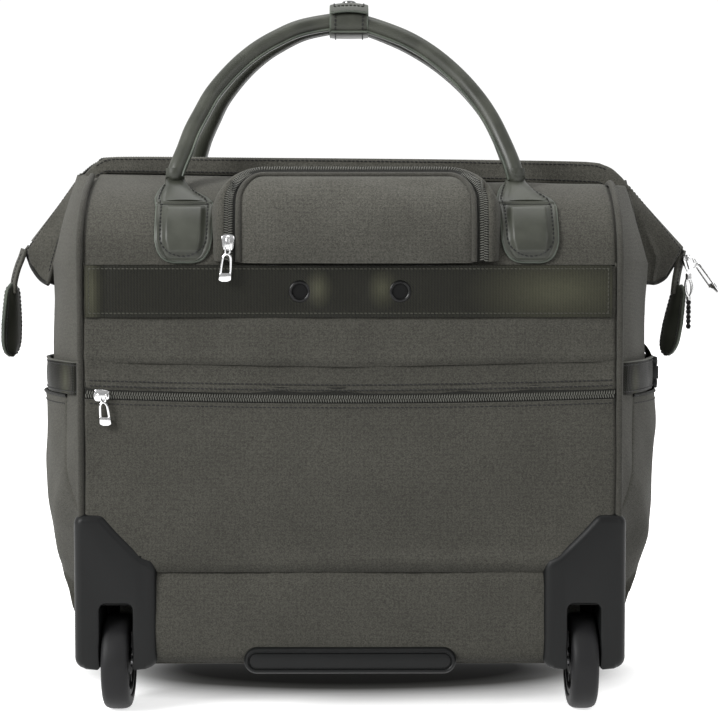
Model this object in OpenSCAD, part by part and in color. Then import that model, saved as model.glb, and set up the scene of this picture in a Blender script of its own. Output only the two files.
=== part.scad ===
// Wheeled laptop case with a wired, wide-opening mouth.
// Frame: +Z up, +X to the right seen from behind, +Y towards the front of the case.
// The origin is on the ground under the middle of the case.

/* [Case] */
// Width of the back and front panels
panel_w = 388; // [372:2:396]
// Depth from the outer face of the back panel to the outer face of the front panel
case_d = 190; // [182:2:190]
// Height of the case floor above the ground
floor_z = 36; // [36:1:38]
// Height where the upright panels end and the roof begins
roof_z = 327; // [325:1:330]
// How far each side bulges past the panels
side_bulge = 33; // [26:1:34]
// Thickness of the padded cloth walls
cloth_t = 3; // [2.5:0.5:3]

/* [Mouth] */
// Height of the middle of the header bands that hold the wire stays
stay_z = 400; // [399:1:402]
// Height of each header band
header_h = 14; // [12:1:14]
// Diameter of the spring-steel stay wire
stay_d = 5; // [4:0.5:5]
// Distance of each wing tip from the middle
wing_tip_x = 252; // [246:1:256]
// Height of the hinge line through both wing tips
wing_tip_z = 342; // [340:1:343]

/* [Wheels] */
// Diameter of each wheel
wheel_d = 70; // [66:1:70]
// Width of each wheel
wheel_w = 20; // [18:1:21]
// Distance of each wheel's middle from the middle of the case
wheel_x = 170.5; // [169:0.5:172]
// Distance that the wheel treads reach behind the origin
rear_reach = 108; // [107:0.5:109]
// Diameter of the steel wheel axles
axle_d = 6; // [5:0.5:7]

/* [Trolley handle] */
// Distance of each tube from the middle
tube_x = 55; // [50:1:60]
// Distance of the tubes behind the origin
tube_y = 80; // [79.5:0.5:80]
// Outer diameter of the fixed tubes
outer_tube_d = 20; // [20:0.2:20.4]
// Outer diameter of the middle stage
mid_tube_d = 17.4; // [17:0.2:17.4]
// Outer diameter of the upper stage
inner_tube_d = 14.6; // [14.2:0.2:14.6]
// Width of the grip
grip_w = 150; // [140:2:154]

/* [Carry handles] */
// Diameter of the rolled carry handle tubes
handle_d = 13; // [11:0.5:13]
// Height of the middle of the handle tubes at the top of their arch
handle_top_z = 511; // [495:1:515]
// Half the distance between the feet of one handle
handle_foot_x = 122; // [118:1:124]

/* [Hidden] */
$fn = 64;

gap = 0.4;                     // clearance between neighbouring pieces
hw = panel_w / 2;              // half the panel width
hd = case_d / 2;               // half the case depth
side_x = hw + side_bulge;      // widest point of the bulged side
plan_n = 6;                    // steps along one half of a side's curve
header_hw = header_h / 2;
wheel_r = wheel_d / 2;
axle_y = -rear_reach + wheel_r;
housing_in = 140;              // inner and outer X of the wheel housings
housing_out = 200;
housing_back = -hd - 6;        // rear and front Y of the wheel housings
housing_front = -25;
skin_y = -hd - 0.2;            // outer skin of the back panel, where trim lies
web_z0 = 289;                  // lower and upper edge of the back webbing
web_z1 = 327;
eyelet_x = 36;
eyelet_bore_r = 5.4;            // radius of the eyelet's hole
eyelet_z = (web_z0 + web_z1) / 2;
zip_z = 232;                   // line of the back pocket's zip
flap_cx = 4.5;                 // middle of the trolley flap
flap_hw = 90;                  // half its width
flap_top = 396;                // height of its upper edge
flap_r = 26;                   // radius of its upper corners
hinge_y = -hd - 2.6;           // fold line of the flap
hinge_z = roof_z + 2;
ring_w = 8;                    // width of the zip tape round the flap
stroke = 240;                  // travel of each trolley stage
grip_z = 349;                  // underside of the grip
tube_foot_z = 44;
stay_y = 5.4;                  // distance of each stay from the zip
eye_x = wing_tip_x - 4.5;      // where the eyes of the two stays meet
tail_z = 312.5;                // lower end of the zip's tails, above the end tabs
tab_h = 55;                    // height of the end tabs
patch_w = 40;
wrap_w = 28;
wrap_z0 = 499;
wrap_z1 = 522;
end_x = 272;                   // furthest reach of the zip-end tabs and pulls

// Rows of the roof's outer shape: height, half depth, widest X
roof_rows = [
  [roof_z + 0.5, hd, side_x], [roof_z + 21, hd - 4.5, side_x - 5.5],
  [roof_z + 39, hd - 17, side_x - 10], [roof_z + 52, hd - 35, side_x - 13.5],
  [roof_z + 61, hd - 57, side_x - 16], [roof_z + 65, hd - 81.5, side_x - 17]
];

// The stay's line seen from behind: tip, corner, flat top, corner, tip
stay_line = [
  [-eye_x, wing_tip_z + 10], [-207, stay_z - 6], [-188, stay_z],
  [188, stay_z], [207, stay_z - 6], [eye_x, wing_tip_z + 10]
];

// Section of the closed trolley flap: outer face from its fold line to its upper edge
flap_outer = [
  [-hd - 2.6, roof_z + 1.5], [-hd - 6, roof_z + 12], [-hd - 7.2, roof_z + 28],
  [-hd - 6, roof_z + 43], [-hd - 1, roof_z + 55], [-hd + 11, roof_z + 64], [-hd + 29, roof_z + 68]
];
// Its inner face, back down to the fold line
flap_inner = [
  [-hd + 29, roof_z + 65.6], [-hd + 12, roof_z + 61.8], [-hd + 1, roof_z + 53.2],
  [-hd - 3.5, roof_z + 42], [-hd - 4.7, roof_z + 28], [-hd - 3.6, roof_z + 13],
  [-hd - 0.6, roof_z + 2.2]
];

// ---------- shared shapes ----------

// Plan of the case: straight back and front, sides bulged by a cosine
function plan_pts(hx, hy, xm) = concat(
  [for (i = [-plan_n : plan_n]) [hx + (xm - hx) * cos(90 * i / plan_n), hy * i / plan_n]],
  [for (i = [-plan_n : plan_n]) [-hx - (xm - hx) * cos(90 * i / plan_n), -hy * i / plan_n]]
);

module slice(z, hx, hy, xm) {
  translate([0, 0, z]) linear_extrude(0.01) polygon(plan_pts(hx, hy, xm));
}

// Extrudes a shape drawn in X and Z from y0 to y1
module upright(y0, y1) {
  translate([0, y1, 0]) rotate([90, 0, 0]) linear_extrude(y1 - y0) children();
}

// Extrudes a shape drawn in Y and Z from x0 to x1
module sideways(x0, x1) {
  translate([x0, 0, 0]) rotate([90, 0, 90]) linear_extrude(x1 - x0) children();
}

module slab(x0, x1, y0, y1, z0, z1) {
  translate([x0, y0, z0]) cube([x1 - x0, y1 - y0, z1 - z0]);
}

module both_sides() {
  children();
  mirror([1, 0, 0]) children();
}

module stadium(x0, x1, z0, z1) {
  r = (z1 - z0) / 2;
  translate([x0 + r, z0]) square([x1 - x0 - 2 * r, z1 - z0]);
  for (x = [x0 + r, x1 - r]) translate([x, z0 + r]) circle(r);
}

// Round rod between two points
module rod(a, b, d) {
  v = b - a;
  len = norm(v);
  translate(a) rotate([0, acos(v[2] / len), atan2(v[1], v[0])]) cylinder(d = d, h = len);
}

// Flat ribbon along the stay's line, drawn in X and Z, w to each side
function unit(v) = v / norm(v);
function stay_normal(i) =
  let (v = unit(stay_line[min(i + 1, len(stay_line) - 1)] - stay_line[max(i - 1, 0)])) [-v[1], v[0]];
module stay_ribbon(w) {
  n = len(stay_line) - 1;
  polygon(concat(
    [for (i = [0 : n]) stay_line[i] - w * stay_normal(i)],
    [for (i = [n : -1 : 0]) stay_line[i] + w * stay_normal(i)]
  ));
}

// Skin over rows of points; each row is a closed loop, anticlockwise about the direction of travel
module loft(rows) {
  m = len(rows[0]);
  last = (len(rows) - 1) * m;
  walls = [for (i = [0 : len(rows) - 2]) for (k = [0 : m - 1])
    let (a = i * m + k, b = i * m + (k + 1) % m) each [[a, a + m, b + m], [a, b + m, b]]];
  polyhedron([for (r = rows) each r],
    concat(walls, [[for (k = [0 : m - 1]) k]], [[for (k = [m - 1 : -1 : 0]) last + k]]), convexity = 6);
}

// Ring of points round a line at its point i, square to the line's direction there
function ring(line, i, d, sides) =
  let (
    along = unit(line[min(i + 1, len(line) - 1)] - line[max(i - 1, 0)]),
    across = unit(cross(along, [0, 1, 0])),
    up = cross(along, across)
  ) [for (k = [0 : sides - 1])
      line[i] + d / 2 * (cos(360 * k / sides) * across + sin(360 * k / sides) * up)];

// Round wire along the stay's line, behind the zip
module stay_wire(d) {
  line = [for (p = stay_line) [p[0], -stay_y, p[1]]];
  loft([for (i = [0 : len(line) - 1]) ring(line, i, d, 12)]);
}

// Outer shape of the roof, shrunk by inset
module dome(inset, rise) {
  hull() for (r = roof_rows)
    slice(r[0] + (r[0] > roof_z + 60 ? rise : -inset), hw - inset - (r[0] - roof_z) / 20,
      r[1] - inset, r[2] - inset);
}

// Outline of one wheel housing, right side, grown by g
module housing_block(g) {
  intersection() {
    upright(housing_back - g, housing_front + g) offset(delta = g) polygon([
      [housing_in, floor_z - 2], [housing_out, floor_z - 2], [housing_out, 146],
      [184, 147.5], [177, 143], [144, 109], [housing_in, 97]
    ]);
    sideways(housing_in - 10, housing_out + 10) offset(delta = g) polygon([
      [housing_back, floor_z - 2], [housing_front, floor_z - 2], [housing_front, 70],
      [-62, 120], [-88, 150], [housing_back, 150]
    ]);
  }
}

module housing_space() both_sides() housing_block(gap);

// Room for the header bands, which the roof and wings stay clear of
module header_space() {
  upright(-13, 13) stay_ribbon(9);
}

// Room for the trolley pocket in the roof
module trolley_space() {
  slab(flap_cx - flap_hw - 2, flap_cx + flap_hw + 2, -hd - 20, -62.5, roof_z + 5, flap_top + 10);
}

// ---------- case ----------

module back_panel() {
  color("darkslategray") difference() {
    slab(-hw, hw, -hd, -hd + cloth_t, floor_z + 3.5, roof_z);
    housing_space();
  }
}

module front_panel() {
  color("darkslategray") slab(-hw, hw, hd - cloth_t, hd, floor_z + 3.5, roof_z);
}

module gusset() {
  difference() {
    translate([0, 0, floor_z + 3.5]) linear_extrude(roof_z - floor_z - 3.5) difference() {
      polygon(plan_pts(hw, hd, side_x));
      polygon(plan_pts(hw - cloth_t, hd - cloth_t, side_x - cloth_t));
      translate([-hw - 100, -hd]) square([2 * hw + 80, case_d]);
      for (y = [-hd - 1, hd - cloth_t - gap]) translate([0, y]) square([side_x + 9, cloth_t + gap + 1]);
    }
    housing_block(gap);
  }
}

module left_gusset() {
  color("dimgray") mirror([1, 0, 0]) gusset();
}

module right_gusset() {
  color("dimgray") gusset();
}

module bottom_panel() {
  color("darkslategray") difference() {
    translate([0, 0, floor_z]) linear_extrude(cloth_t) polygon(plan_pts(hw, hd, side_x));
    housing_space();
  }
}

module base_board() {
  color("tan") difference() {
    slab(-183, 183, -66, 88, floor_z + 3.5, floor_z + 7);
    housing_space();
  }
}

module lining_board() {
  color("gray") difference() {
    slab(-184, 184, -67, -65, floor_z + 8, roof_z - 2);
    housing_space();
  }
}

// Padded pocket for a laptop, open at its top, in front of the lining board
module laptop_sleeve() {
  color("slategray") difference() {
    slab(-172, 172, -64.5, -32, 60, 290);
    slab(-168, 168, -70, -36, 64, 300);
    housing_space();
    slab(-200, 200, -70, -20, 0, 60.01);
  }
}

module back_roof() {
  color("darkslategray") difference() {
    dome(0, 0);
    dome(cloth_t, 2);
    slab(-300, 300, -0.2, 200, 300, 420);
    header_space();
    trolley_space();
  }
}

module front_roof() {
  color("darkslategray") difference() {
    dome(0, 0);
    dome(cloth_t, 2);
    slab(-300, 300, -200, 0.2, 300, 420);
    header_space();
  }
}

// Pinched triangle of cloth between the roof and the sloping end of the frame
module wings() {
  color("dimgray") both_sides() difference() {
    upright(-3, 3) polygon([
      [side_x - 11.5, roof_z + 47], [eye_x - 5, wing_tip_z + 6],
      [eye_x - 5, wing_tip_z - 6], [side_x + 4, roof_z - 13], [side_x + 1.2, roof_z - 1]
    ]);
    header_space();
  }
}

// Corded piping along the upright edges of the back and front panels
module body_piping() {
  color("black") both_sides() {
    rod([hw + 2.8, -hd - 0.8, 148], [hw + 2.8, -hd - 0.8, roof_z], 4.6);
    rod([hw + 2.8, hd + 0.8, floor_z + 6], [hw + 2.8, hd + 0.8, roof_z], 4.6);
  }
}

// ---------- mouth ----------

// Band behind the stay wire: thick along the top, thin along the wings
module header_band() {
  difference() {
    union() {
      intersection() {
        upright(-12, -9) stay_ribbon(header_hw);
        slab(-194, 194, -20, 0, 380, 420);
      }
      upright(-9, -stay_y - stay_d / 2 - gap) stay_ribbon(header_hw);
    }
    slab(-300, 300, -20, 0, 300, wing_tip_z + 14);
  }
}

module header_back() {
  color("darkslategray") header_band();
}

module header_front() {
  color("darkslategray") mirror([0, 1, 0]) header_band();
}

// Wire with a flat eye at each end; eye_x0 is the inner face of the eye
module frame_stay(eye_x0) {
  difference() {
    union() {
      stay_wire(stay_d);
      both_sides() sideways(eye_x0, eye_x0 + 1.8) {
        translate([0, wing_tip_z]) circle(4.5);
        translate([0, wing_tip_z]) rotate(90 + atan(stay_y / 10)) translate([0, -2.4]) square([11.6, 4.8]);
      }
    }
    rod([-300, 0, wing_tip_z], [300, 0, wing_tip_z], 4.4);
  }
}

module frame_stay_back() {
  color("silver") frame_stay(eye_x - 2);
}

module frame_stay_front() {
  color("silver") mirror([0, 1, 0]) frame_stay(eye_x + 0.2);
}

module stay_hinge_pins() {
  color("silver") both_sides() {
    rod([eye_x - 3, 0, wing_tip_z], [eye_x + 3, 0, wing_tip_z], 4);
    for (x = [eye_x - 3.8, eye_x + 2.2])
      rod([x, 0, wing_tip_z], [x + 1.6, 0, wing_tip_z], 7);
  }
}

// Zip tape between the two header bands, and the tail past each wing tip
module main_zip_tape() {
  color("black") {
    difference() {
      upright(-0.7, 0.7) stay_ribbon(header_hw + 1);
      slab(-300, 300, -20, 20, 300, wing_tip_z + 14);
    }
    both_sides() {
      upright(-0.7, 0.7) polygon([
        [eye_x - 1, wing_tip_z + 14], [eye_x + 4, wing_tip_z + 15], [wing_tip_x + 8, wing_tip_z],
        [wing_tip_x + 6, wing_tip_z - 2]
      ]);
      upright(-3, 3) polygon([
        [wing_tip_x + 6, wing_tip_z], [wing_tip_x + 8, wing_tip_z],
        [wing_tip_x + 8, tail_z], [wing_tip_x + 6, tail_z]
      ]);
    }
  }
}

// Zip slider lying flat against a zip that faces -Y, with its bail pin along X
module slider_body() {
  upright(-3, 0) hull() {
    translate([-3.4, 0]) circle(2.4, $fn = 32);
    translate([3.4, 0]) circle(3.2, $fn = 32);
  }
  for (x = [-3.4, 2.2]) slab(x, x + 1.2, -5.6, -2.9, -3.6, 1.2);
  rod([-3, -4.4, -2.4], [3, -4.4, -2.4], 1.4);
}

// Open-frame pull that hangs from the bail pin by an eye, barrel end down
module pull_body(length) {
  difference() {
    union() {
      upright(-5.4, -3.6) difference() {
        union() {
          translate([-1.9, -6]) square([3.8, 4.4]);
          translate([-3, -length]) square([6, length - 5]);
        }
        translate([-1.6, -length + 4]) square([3.2, length - 11]);
      }
      rod([-1.9, -4.4, -2.4], [1.9, -4.4, -2.4], 2.5);
      translate([0, -4.5, -length]) sphere(d = 5.2);
    }
    rod([-5, -4.4, -2.4], [5, -4.4, -2.4], 1.8);
  }
}

main_slider_at = [wing_tip_x + 8.4, 0, 326];

module at_main_slider() {
  translate(main_slider_at) rotate([0, 0, 90]) children();
}

module main_zip_slider() {
  color("silver") at_main_slider() slider_body();
}

module main_zip_pull() {
  color("silver") intersection() {
    at_main_slider() translate([0, -4.4, -2.4]) rotate([-16, 0, 0]) translate([0, 4.4, 2.4]) pull_body(24);
    slab(0, end_x, -50, 50, 0, 400);
  }
}

// Swivel hook that hangs from the tail of the zip
module zip_hook() {
  color("silver") {
    slab(wing_tip_x + 5.4, wing_tip_x + 8.6, -9.6, -6.2, 296, 318);
    slab(wing_tip_x + 4.6, wing_tip_x + 9.4, -10.4, -5.4, 278, 296.01);
  }
}

// Oval leather end tab, turned about its upright axis
module end_tab(reach, turn, w, t) {
  cx = reach - (w * cos(turn) + t * sin(turn)) / 2;
  translate([cx, 0, 0]) rotate([0, 0, turn]) {
    upright(-t / 2, t / 2) {
      z0 = tail_z - 0.5 - tab_h;
      translate([-w / 2, z0 + w / 2]) square([w, tab_h - w]);
      for (z = [z0 + w / 2, z0 + tab_h - w / 2]) translate([0, z]) circle(w / 2);
    }
  }
}

module left_tab() {
  color("darkolivegreen") mirror([1, 0, 0]) end_tab(end_x, 62, 26, 5);
}

module right_tab() {
  color("darkolivegreen") end_tab(end_x - 5, 50, 26, 5);
}

// ---------- back trim ----------

module back_webbing() {
  color("darkslategray") difference() {
    slab(-190, 188, skin_y - 1.6, skin_y, web_z0, web_z1);
    for (x = [-eyelet_x, eyelet_x])
      rod([x, -hd - 10, eyelet_z], [x, -hd, eyelet_z], 2 * eyelet_bore_r + 1.4);
  }
}

module webbing_eyelets() {
  color("black") for (x = [-eyelet_x, eyelet_x]) translate([x, skin_y, eyelet_z]) rotate([90, 0, 0])
    rotate_extrude() {
      translate([eyelet_bore_r, 0]) square([0.5, 3]);
      translate([eyelet_bore_r, 1.9]) square([2.3, 1.4]);
    }
}

module pocket_panel() {
  color("darkslategray") difference() {
    slab(-hw + 1, hw - 1, skin_y - 2.6, skin_y - 1.4, floor_z + 3.5, zip_z - 5);
    housing_space();
    skid_space();
  }
}

module pocket_welt() {
  color("darkslategray") slab(-hw + 1, hw - 1, skin_y - 2.6, skin_y - 1.4, zip_z + 5, 257);
}

module pocket_zip_tape() {
  color("black") {
    slab(-hw + 4, hw - 4, skin_y - 1, skin_y, zip_z - 11, zip_z + 11);
    slab(-hw + 4, hw - 4, skin_y - 2.2, skin_y - 0.9, zip_z - 3, zip_z + 3);
  }
}

module at_pocket_slider() {
  translate([-178, skin_y - 2.4, zip_z]) children();
}

module pocket_zip_slider() {
  color("silver") at_pocket_slider() slider_body();
}

module pocket_zip_pull() {
  color("silver") at_pocket_slider() pull_body(24);
}

module skid_space() {
  upright(-hd - 8, skin_y + 1) offset(delta = 1) stadium(-77, 77, floor_z - 5, floor_z + 14);
}

module skid_bar() {
  color("black") {
    upright(-hd - 7, skin_y) stadium(-77, 77, floor_z - 5, floor_z + 14);
    slab(-66, 66, skin_y - 1, -60, floor_z - 4, floor_z - gap);
  }
}

// ---------- trolley ----------

// Flap outline seen from behind, round at its upper corners, inset by g
module flap_outline(g) {
  w = flap_hw - g;
  r = flap_r - g;
  translate([flap_cx - w, hinge_z - 5]) square([2 * w, flap_top - g - r - hinge_z + 5]);
  translate([flap_cx - w + r, hinge_z]) square([2 * (w - r), flap_top - g - hinge_z]);
  for (s = [-1, 1]) translate([flap_cx + s * (w - r), flap_top - g - r]) circle(r);
}

module trolley_flap() {
  color("darkslategray") intersection() {
    sideways(-200, 200) polygon(concat(flap_outer, flap_inner));
    upright(-150, 0) flap_outline(ring_w + gap);
  }
}

module flap_zip_tape() {
  color("black") intersection() {
    sideways(-200, 200) polygon(concat(flap_outer, flap_inner));
    upright(-150, 0) difference() {
      flap_outline(0);
      flap_outline(ring_w);
    }
  }
}

// Side walls and back wall of the recess that holds the grip
module trolley_pocket_walls() {
  color("dimgray") {
    for (x = [flap_cx - flap_hw, flap_cx + flap_hw - 2]) sideways(x, x + 2) polygon([
      [-63, roof_z + 14], [-hd + 3, roof_z + 14], [-hd + 3, roof_z + 50], [-hd + 14, roof_z + 58],
      [-63, roof_z + 62]
    ]);
    slab(flap_cx - flap_hw + 2, flap_cx + flap_hw - 2, -65, -63, roof_z + 14, roof_z + 62);
  }
}

module at_flap_slider() {
  translate([flap_cx - flap_hw + 4, -hd - 7.3, 344]) children();
}

module flap_zip_slider() {
  color("silver") at_flap_slider() slider_body();
}

module flap_zip_pull() {
  color("silver") at_flap_slider() pull_body(24);
}

module both_tubes(z0, z1, d, bore) {
  for (s = [-1, 1]) translate([s * tube_x, -tube_y, z0]) difference() {
    cylinder(d = d, h = z1 - z0);
    translate([0, 0, -1]) cylinder(d = bore, h = z1 - z0 + 2);
  }
}

module trolley_foot() {
  color("black") difference() {
    slab(-72, 72, -91.4, -68.6, floor_z + 3.5, 52);
    for (s = [-1, 1]) translate([s * tube_x, -tube_y, tube_foot_z]) cylinder(d = outer_tube_d + 0.4, h = 20);
  }
}

module trolley_outer_tubes() {
  color("silver") both_tubes(tube_foot_z, roof_z + 8, outer_tube_d, mid_tube_d + 0.5);
}

module trolley_top_bracket() {
  color("black") difference() {
    slab(-84, 84, -91.4, -68.6, roof_z + 8.5, roof_z + 13);
    for (s = [-1, 1]) translate([s * tube_x, -tube_y, 300]) cylinder(d = mid_tube_d + 0.8, h = 60);
  }
}

module trolley_mid_tubes() {
  color("silver") both_tubes(tube_foot_z + 4, roof_z + 17, mid_tube_d, inner_tube_d + 0.6);
}

module trolley_inner_tubes() {
  color("silver") both_tubes(tube_foot_z + 8, grip_z, inner_tube_d, inner_tube_d - 3);
}

module trolley_grip() {
  color("black") difference() {
    sideways(-grip_w / 2, grip_w / 2) offset(3) polygon([
      [-tube_y - 8, grip_z + 3], [-tube_y + 7, grip_z + 3], [-tube_y + 7, 369], [-tube_y - 8, 369]
    ]);
    slab(-15.4, 15.4, -tube_y - 6.4, -tube_y + 6.4, 366, 380);
  }
}

module trolley_button() {
  color("dimgray") slab(-15, 15, -tube_y - 6, -tube_y + 6, 369, 375);
}

// ---------- wheels ----------

module wheel_slot() {
  slab(wheel_x - wheel_w / 2 - 3, wheel_x + wheel_w / 2 + 1, -150, axle_y, 0, wheel_r * 2 + 12);
  translate([wheel_x - wheel_w / 2 - 3, axle_y, wheel_r]) rotate([0, 90, 0])
    cylinder(r = wheel_r + 4, h = wheel_w + 4);
}

module wheel_housing() {
  difference() {
    housing_block(0);
    wheel_slot();
    rod([wheel_x - 22, axle_y, wheel_r], [wheel_x + 22, axle_y, wheel_r], axle_d + 0.2);
  }
}

module left_wheel_housing() {
  color("black") mirror([1, 0, 0]) wheel_housing();
}

module right_wheel_housing() {
  color("black") wheel_housing();
}

module wheel_axles() {
  color("silver") both_sides()
    rod([wheel_x - 21.5, axle_y, wheel_r], [wheel_x + 21.5, axle_y, wheel_r], axle_d);
}

module at_wheel() {
  translate([wheel_x, axle_y, wheel_r]) rotate([0, 90, 0]) children();
}

// Hub: bored boss, web and rim, turned about the axle
module hub() {
  at_wheel() rotate_extrude() {
    translate([axle_d / 2 + 0.15, -wheel_w / 2 - 0.5]) square([6, wheel_w + 1]);
    translate([axle_d / 2 + 4, -2.5]) square([wheel_r - 12 - axle_d, 5]);
    translate([wheel_r - 11, -wheel_w / 2 + 2]) square([4, wheel_w - 4]);
  }
}

// Tyre with rounded shoulders
module tyre() {
  at_wheel() rotate_extrude($fn = 96) {
    translate([wheel_r - 6.9, -wheel_w / 2 + 2]) square([6.9, wheel_w - 4]);
    translate([wheel_r - 6.9, -wheel_w / 2]) square([4.9, wheel_w]);
    for (s = [-1, 1]) translate([wheel_r - 2, s * (wheel_w / 2 - 2)]) circle(2);
  }
}

module left_hub() {
  color("black") mirror([1, 0, 0]) hub();
}

module right_hub() {
  color("black") hub();
}

module left_tyre() {
  color("dimgray") mirror([1, 0, 0]) tyre();
}

module right_tyre() {
  color("dimgray") tyre();
}

module front_feet() {
  color("black") both_sides() translate([187, 70, 0]) {
    cylinder(r = 10, h = floor_z - gap - 2);
    translate([0, 0, floor_z - gap - 2]) cylinder(r = 11.5, h = 2);
  }
}

// ---------- carry handles ----------

handle_steps = 28;
ring_sides = 12;

// One handle's centre line: upright at its feet, flattened at its top, leaning to the middle
function handle_z(u) = 410 + (handle_top_z - 410) * pow(1 - pow(abs(u), 1.9), 0.62);
function handle_y(z) = -56 + 47.5 * (z - 400) / (handle_top_z - 400);
function handle_point(t) =
  abs(t) <= 1
    ? let (u = sin(90 * t), z = handle_z(u)) [handle_foot_x * u, handle_y(z), z]
    : [handle_foot_x * sign(t), -56 + 9 * (abs(t) - 1), 410 - 100 * (abs(t) - 1)];
handle_ts = concat([-1.21], [for (i = [-handle_steps / 2 : handle_steps / 2]) 2 * i / handle_steps], [1.21]);
handle_line = [for (t = handle_ts) handle_point(t)];

module handle() {
  loft([for (i = [0 : len(handle_line) - 1]) ring(handle_line, i, handle_d, ring_sides)]);
}

module back_handle() {
  color("darkolivegreen") handle();
}

module front_handle() {
  color("darkolivegreen") mirror([0, 1, 0]) handle();
}

// Leather patch that follows the roof's curve, 3 mm thick
module patch() {
  sideways(handle_foot_x + 2 - patch_w / 2, handle_foot_x + 2 + patch_w / 2) polygon(concat(
    [for (r = [for (i = [0 : 3]) roof_rows[i]]) [-r[1] - 0.6, r[0] + 0.6]],
    [for (r = [for (i = [3 : -1 : 0]) roof_rows[i]]) [-r[1] - 3.4, r[0] + 2.4]]
  ));
}

module handle_patches() {
  color("darkolivegreen") both_sides() {
    patch();
    mirror([0, 1, 0]) patch();
  }
}

// Band round both tubes at the top of the arch
module handle_wrap() {
  color("darkolivegreen") difference() {
    sideways(-wrap_w / 2, wrap_w / 2) offset(4, $fn = 24) polygon([
      [-15.5, wrap_z0 + 4], [15.5, wrap_z0 + 4], [15.5, wrap_z1 - 4], [-15.5, wrap_z1 - 4]
    ]);
    sideways(-wrap_w, wrap_w) polygon([
      [-16.6, wrap_z0 + 2.6], [16.6, wrap_z0 + 2.6], [16.6, wrap_z1 - 2.4], [-16.6, wrap_z1 - 2.4]
    ]);
  }
}

// Tab that closes over the band, with its snap
module wrap_tab() {
  color("darkolivegreen") {
    slab(-8, 8, -17, 16, wrap_z1 + 0.3, wrap_z1 + 2.4);
    translate([0, -4, wrap_z1 + 2.4]) cylinder(d = 11, h = 1.6);
    translate([0, -4, wrap_z1 + 4]) cylinder(d = 7, h = 2);
  }
}

// ---------- pockets and straps ----------

// Pouch on each side: a curved wall and a floor, cut back to the case's side
module side_pockets() {
  color("dimgray") both_sides() intersection() {
    union() {
      translate([0, 0, 114]) linear_extrude(117) difference() {
        polygon(plan_pts(208, 70, side_x + 9));
        polygon(plan_pts(207.99, 68, side_x + 7));
        polygon(plan_pts(hw + gap, hd, side_x + gap));
      }
      translate([0, 0, 112]) linear_extrude(2) difference() {
        polygon(plan_pts(208, 70, side_x + 9));
        polygon(plan_pts(hw + gap, hd, side_x + gap));
      }
    }
    slab(206, 300, -90, 90, 60, 240);
  }
}

module side_straps() {
  color("darkslategray") intersection() {
    translate([0, 0, zip_z + 1]) linear_extrude(23) difference() {
      polygon(plan_pts(hw + 2, hd, side_x + 2));
      polygon(plan_pts(hw + 0.5, hd, side_x + 0.5));
    }
    union() {
      slab(190, 300, -88, 88, 200, 300);
      slab(-300, -190, -88, 88, 200, 300);
    }
  }
}

module side_buckle() {
  color("black") slab(side_x + 2.2, side_x + 8.5, -13, 13, zip_z - 1, zip_z + 25);
}

// Slim pouch on the front panel, open along its top
module front_pocket() {
  color("darkslategray") difference() {
    slab(-150, 150, hd + 0.2, rear_reach, 90, 285);
    slab(-146, 146, hd + 2.2, rear_reach - 2, 94, 290);
  }
}

back_panel();
front_panel();
left_gusset();
right_gusset();
bottom_panel();
base_board();
lining_board();
laptop_sleeve();
back_roof();
front_roof();
wings();
body_piping();
header_back();
header_front();
frame_stay_back();
frame_stay_front();
stay_hinge_pins();
main_zip_tape();
main_zip_slider();
main_zip_pull();
zip_hook();
left_tab();
right_tab();
back_webbing();
webbing_eyelets();
pocket_panel();
pocket_welt();
pocket_zip_tape();
pocket_zip_slider();
pocket_zip_pull();
trolley_pocket_walls();
trolley_flap();
flap_zip_tape();
flap_zip_slider();
flap_zip_pull();
trolley_foot();
trolley_outer_tubes();
trolley_top_bracket();
trolley_mid_tubes();
trolley_inner_tubes();
trolley_grip();
trolley_button();
left_wheel_housing();
right_wheel_housing();
wheel_axles();
left_hub();
right_hub();
left_tyre();
right_tyre();
skid_bar();
front_feet();
back_handle();
front_handle();
handle_patches();
handle_wrap();
wrap_tab();
side_pockets();
side_straps();
side_buckle();
front_pocket();
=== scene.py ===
import bpy
import bmesh
import numpy as np
from math import copysign, cos, hypot, pi, radians, sin
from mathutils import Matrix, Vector


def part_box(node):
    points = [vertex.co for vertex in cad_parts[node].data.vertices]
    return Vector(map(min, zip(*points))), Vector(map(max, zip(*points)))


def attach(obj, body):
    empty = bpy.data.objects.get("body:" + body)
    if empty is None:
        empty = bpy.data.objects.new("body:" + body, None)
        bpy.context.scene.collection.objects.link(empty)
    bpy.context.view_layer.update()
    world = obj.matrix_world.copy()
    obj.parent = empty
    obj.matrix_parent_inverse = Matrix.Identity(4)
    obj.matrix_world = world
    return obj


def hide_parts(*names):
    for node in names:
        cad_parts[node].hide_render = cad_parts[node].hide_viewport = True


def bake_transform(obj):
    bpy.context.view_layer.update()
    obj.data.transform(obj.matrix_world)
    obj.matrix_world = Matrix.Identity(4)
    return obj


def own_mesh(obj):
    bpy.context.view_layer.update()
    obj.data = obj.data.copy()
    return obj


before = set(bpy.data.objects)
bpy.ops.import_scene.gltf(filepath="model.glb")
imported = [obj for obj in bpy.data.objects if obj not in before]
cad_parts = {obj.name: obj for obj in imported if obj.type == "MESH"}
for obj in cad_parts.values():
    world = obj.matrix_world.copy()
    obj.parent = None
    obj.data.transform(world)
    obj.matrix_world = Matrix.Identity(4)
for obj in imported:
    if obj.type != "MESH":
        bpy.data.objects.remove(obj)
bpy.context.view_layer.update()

# ---- sizes, mm
MM = 0.001
HD = 95.0  # half depth of the body at the panels
PX = 194.0  # half width of the flat panels
FLAP_X, FLAP_W, FLAP_R = 4.5, 84.0, 17.0
SEAM_LOW = 106.0
WEB_Z0, WEB_Z1 = 289.0, 327.0
EYE_X, EYE_Z = 36.0, 308.0
WHEEL_X, AXLE_Y, WHEEL_R = 170.5, -73.0, 35.0
TAU = 2 * pi
BACK, FRONT, UP, RIGHT = (0, -1, 0), (0, 1, 0), (0, 0, 1), (1, 0, 0)
span = np.linspace


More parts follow.
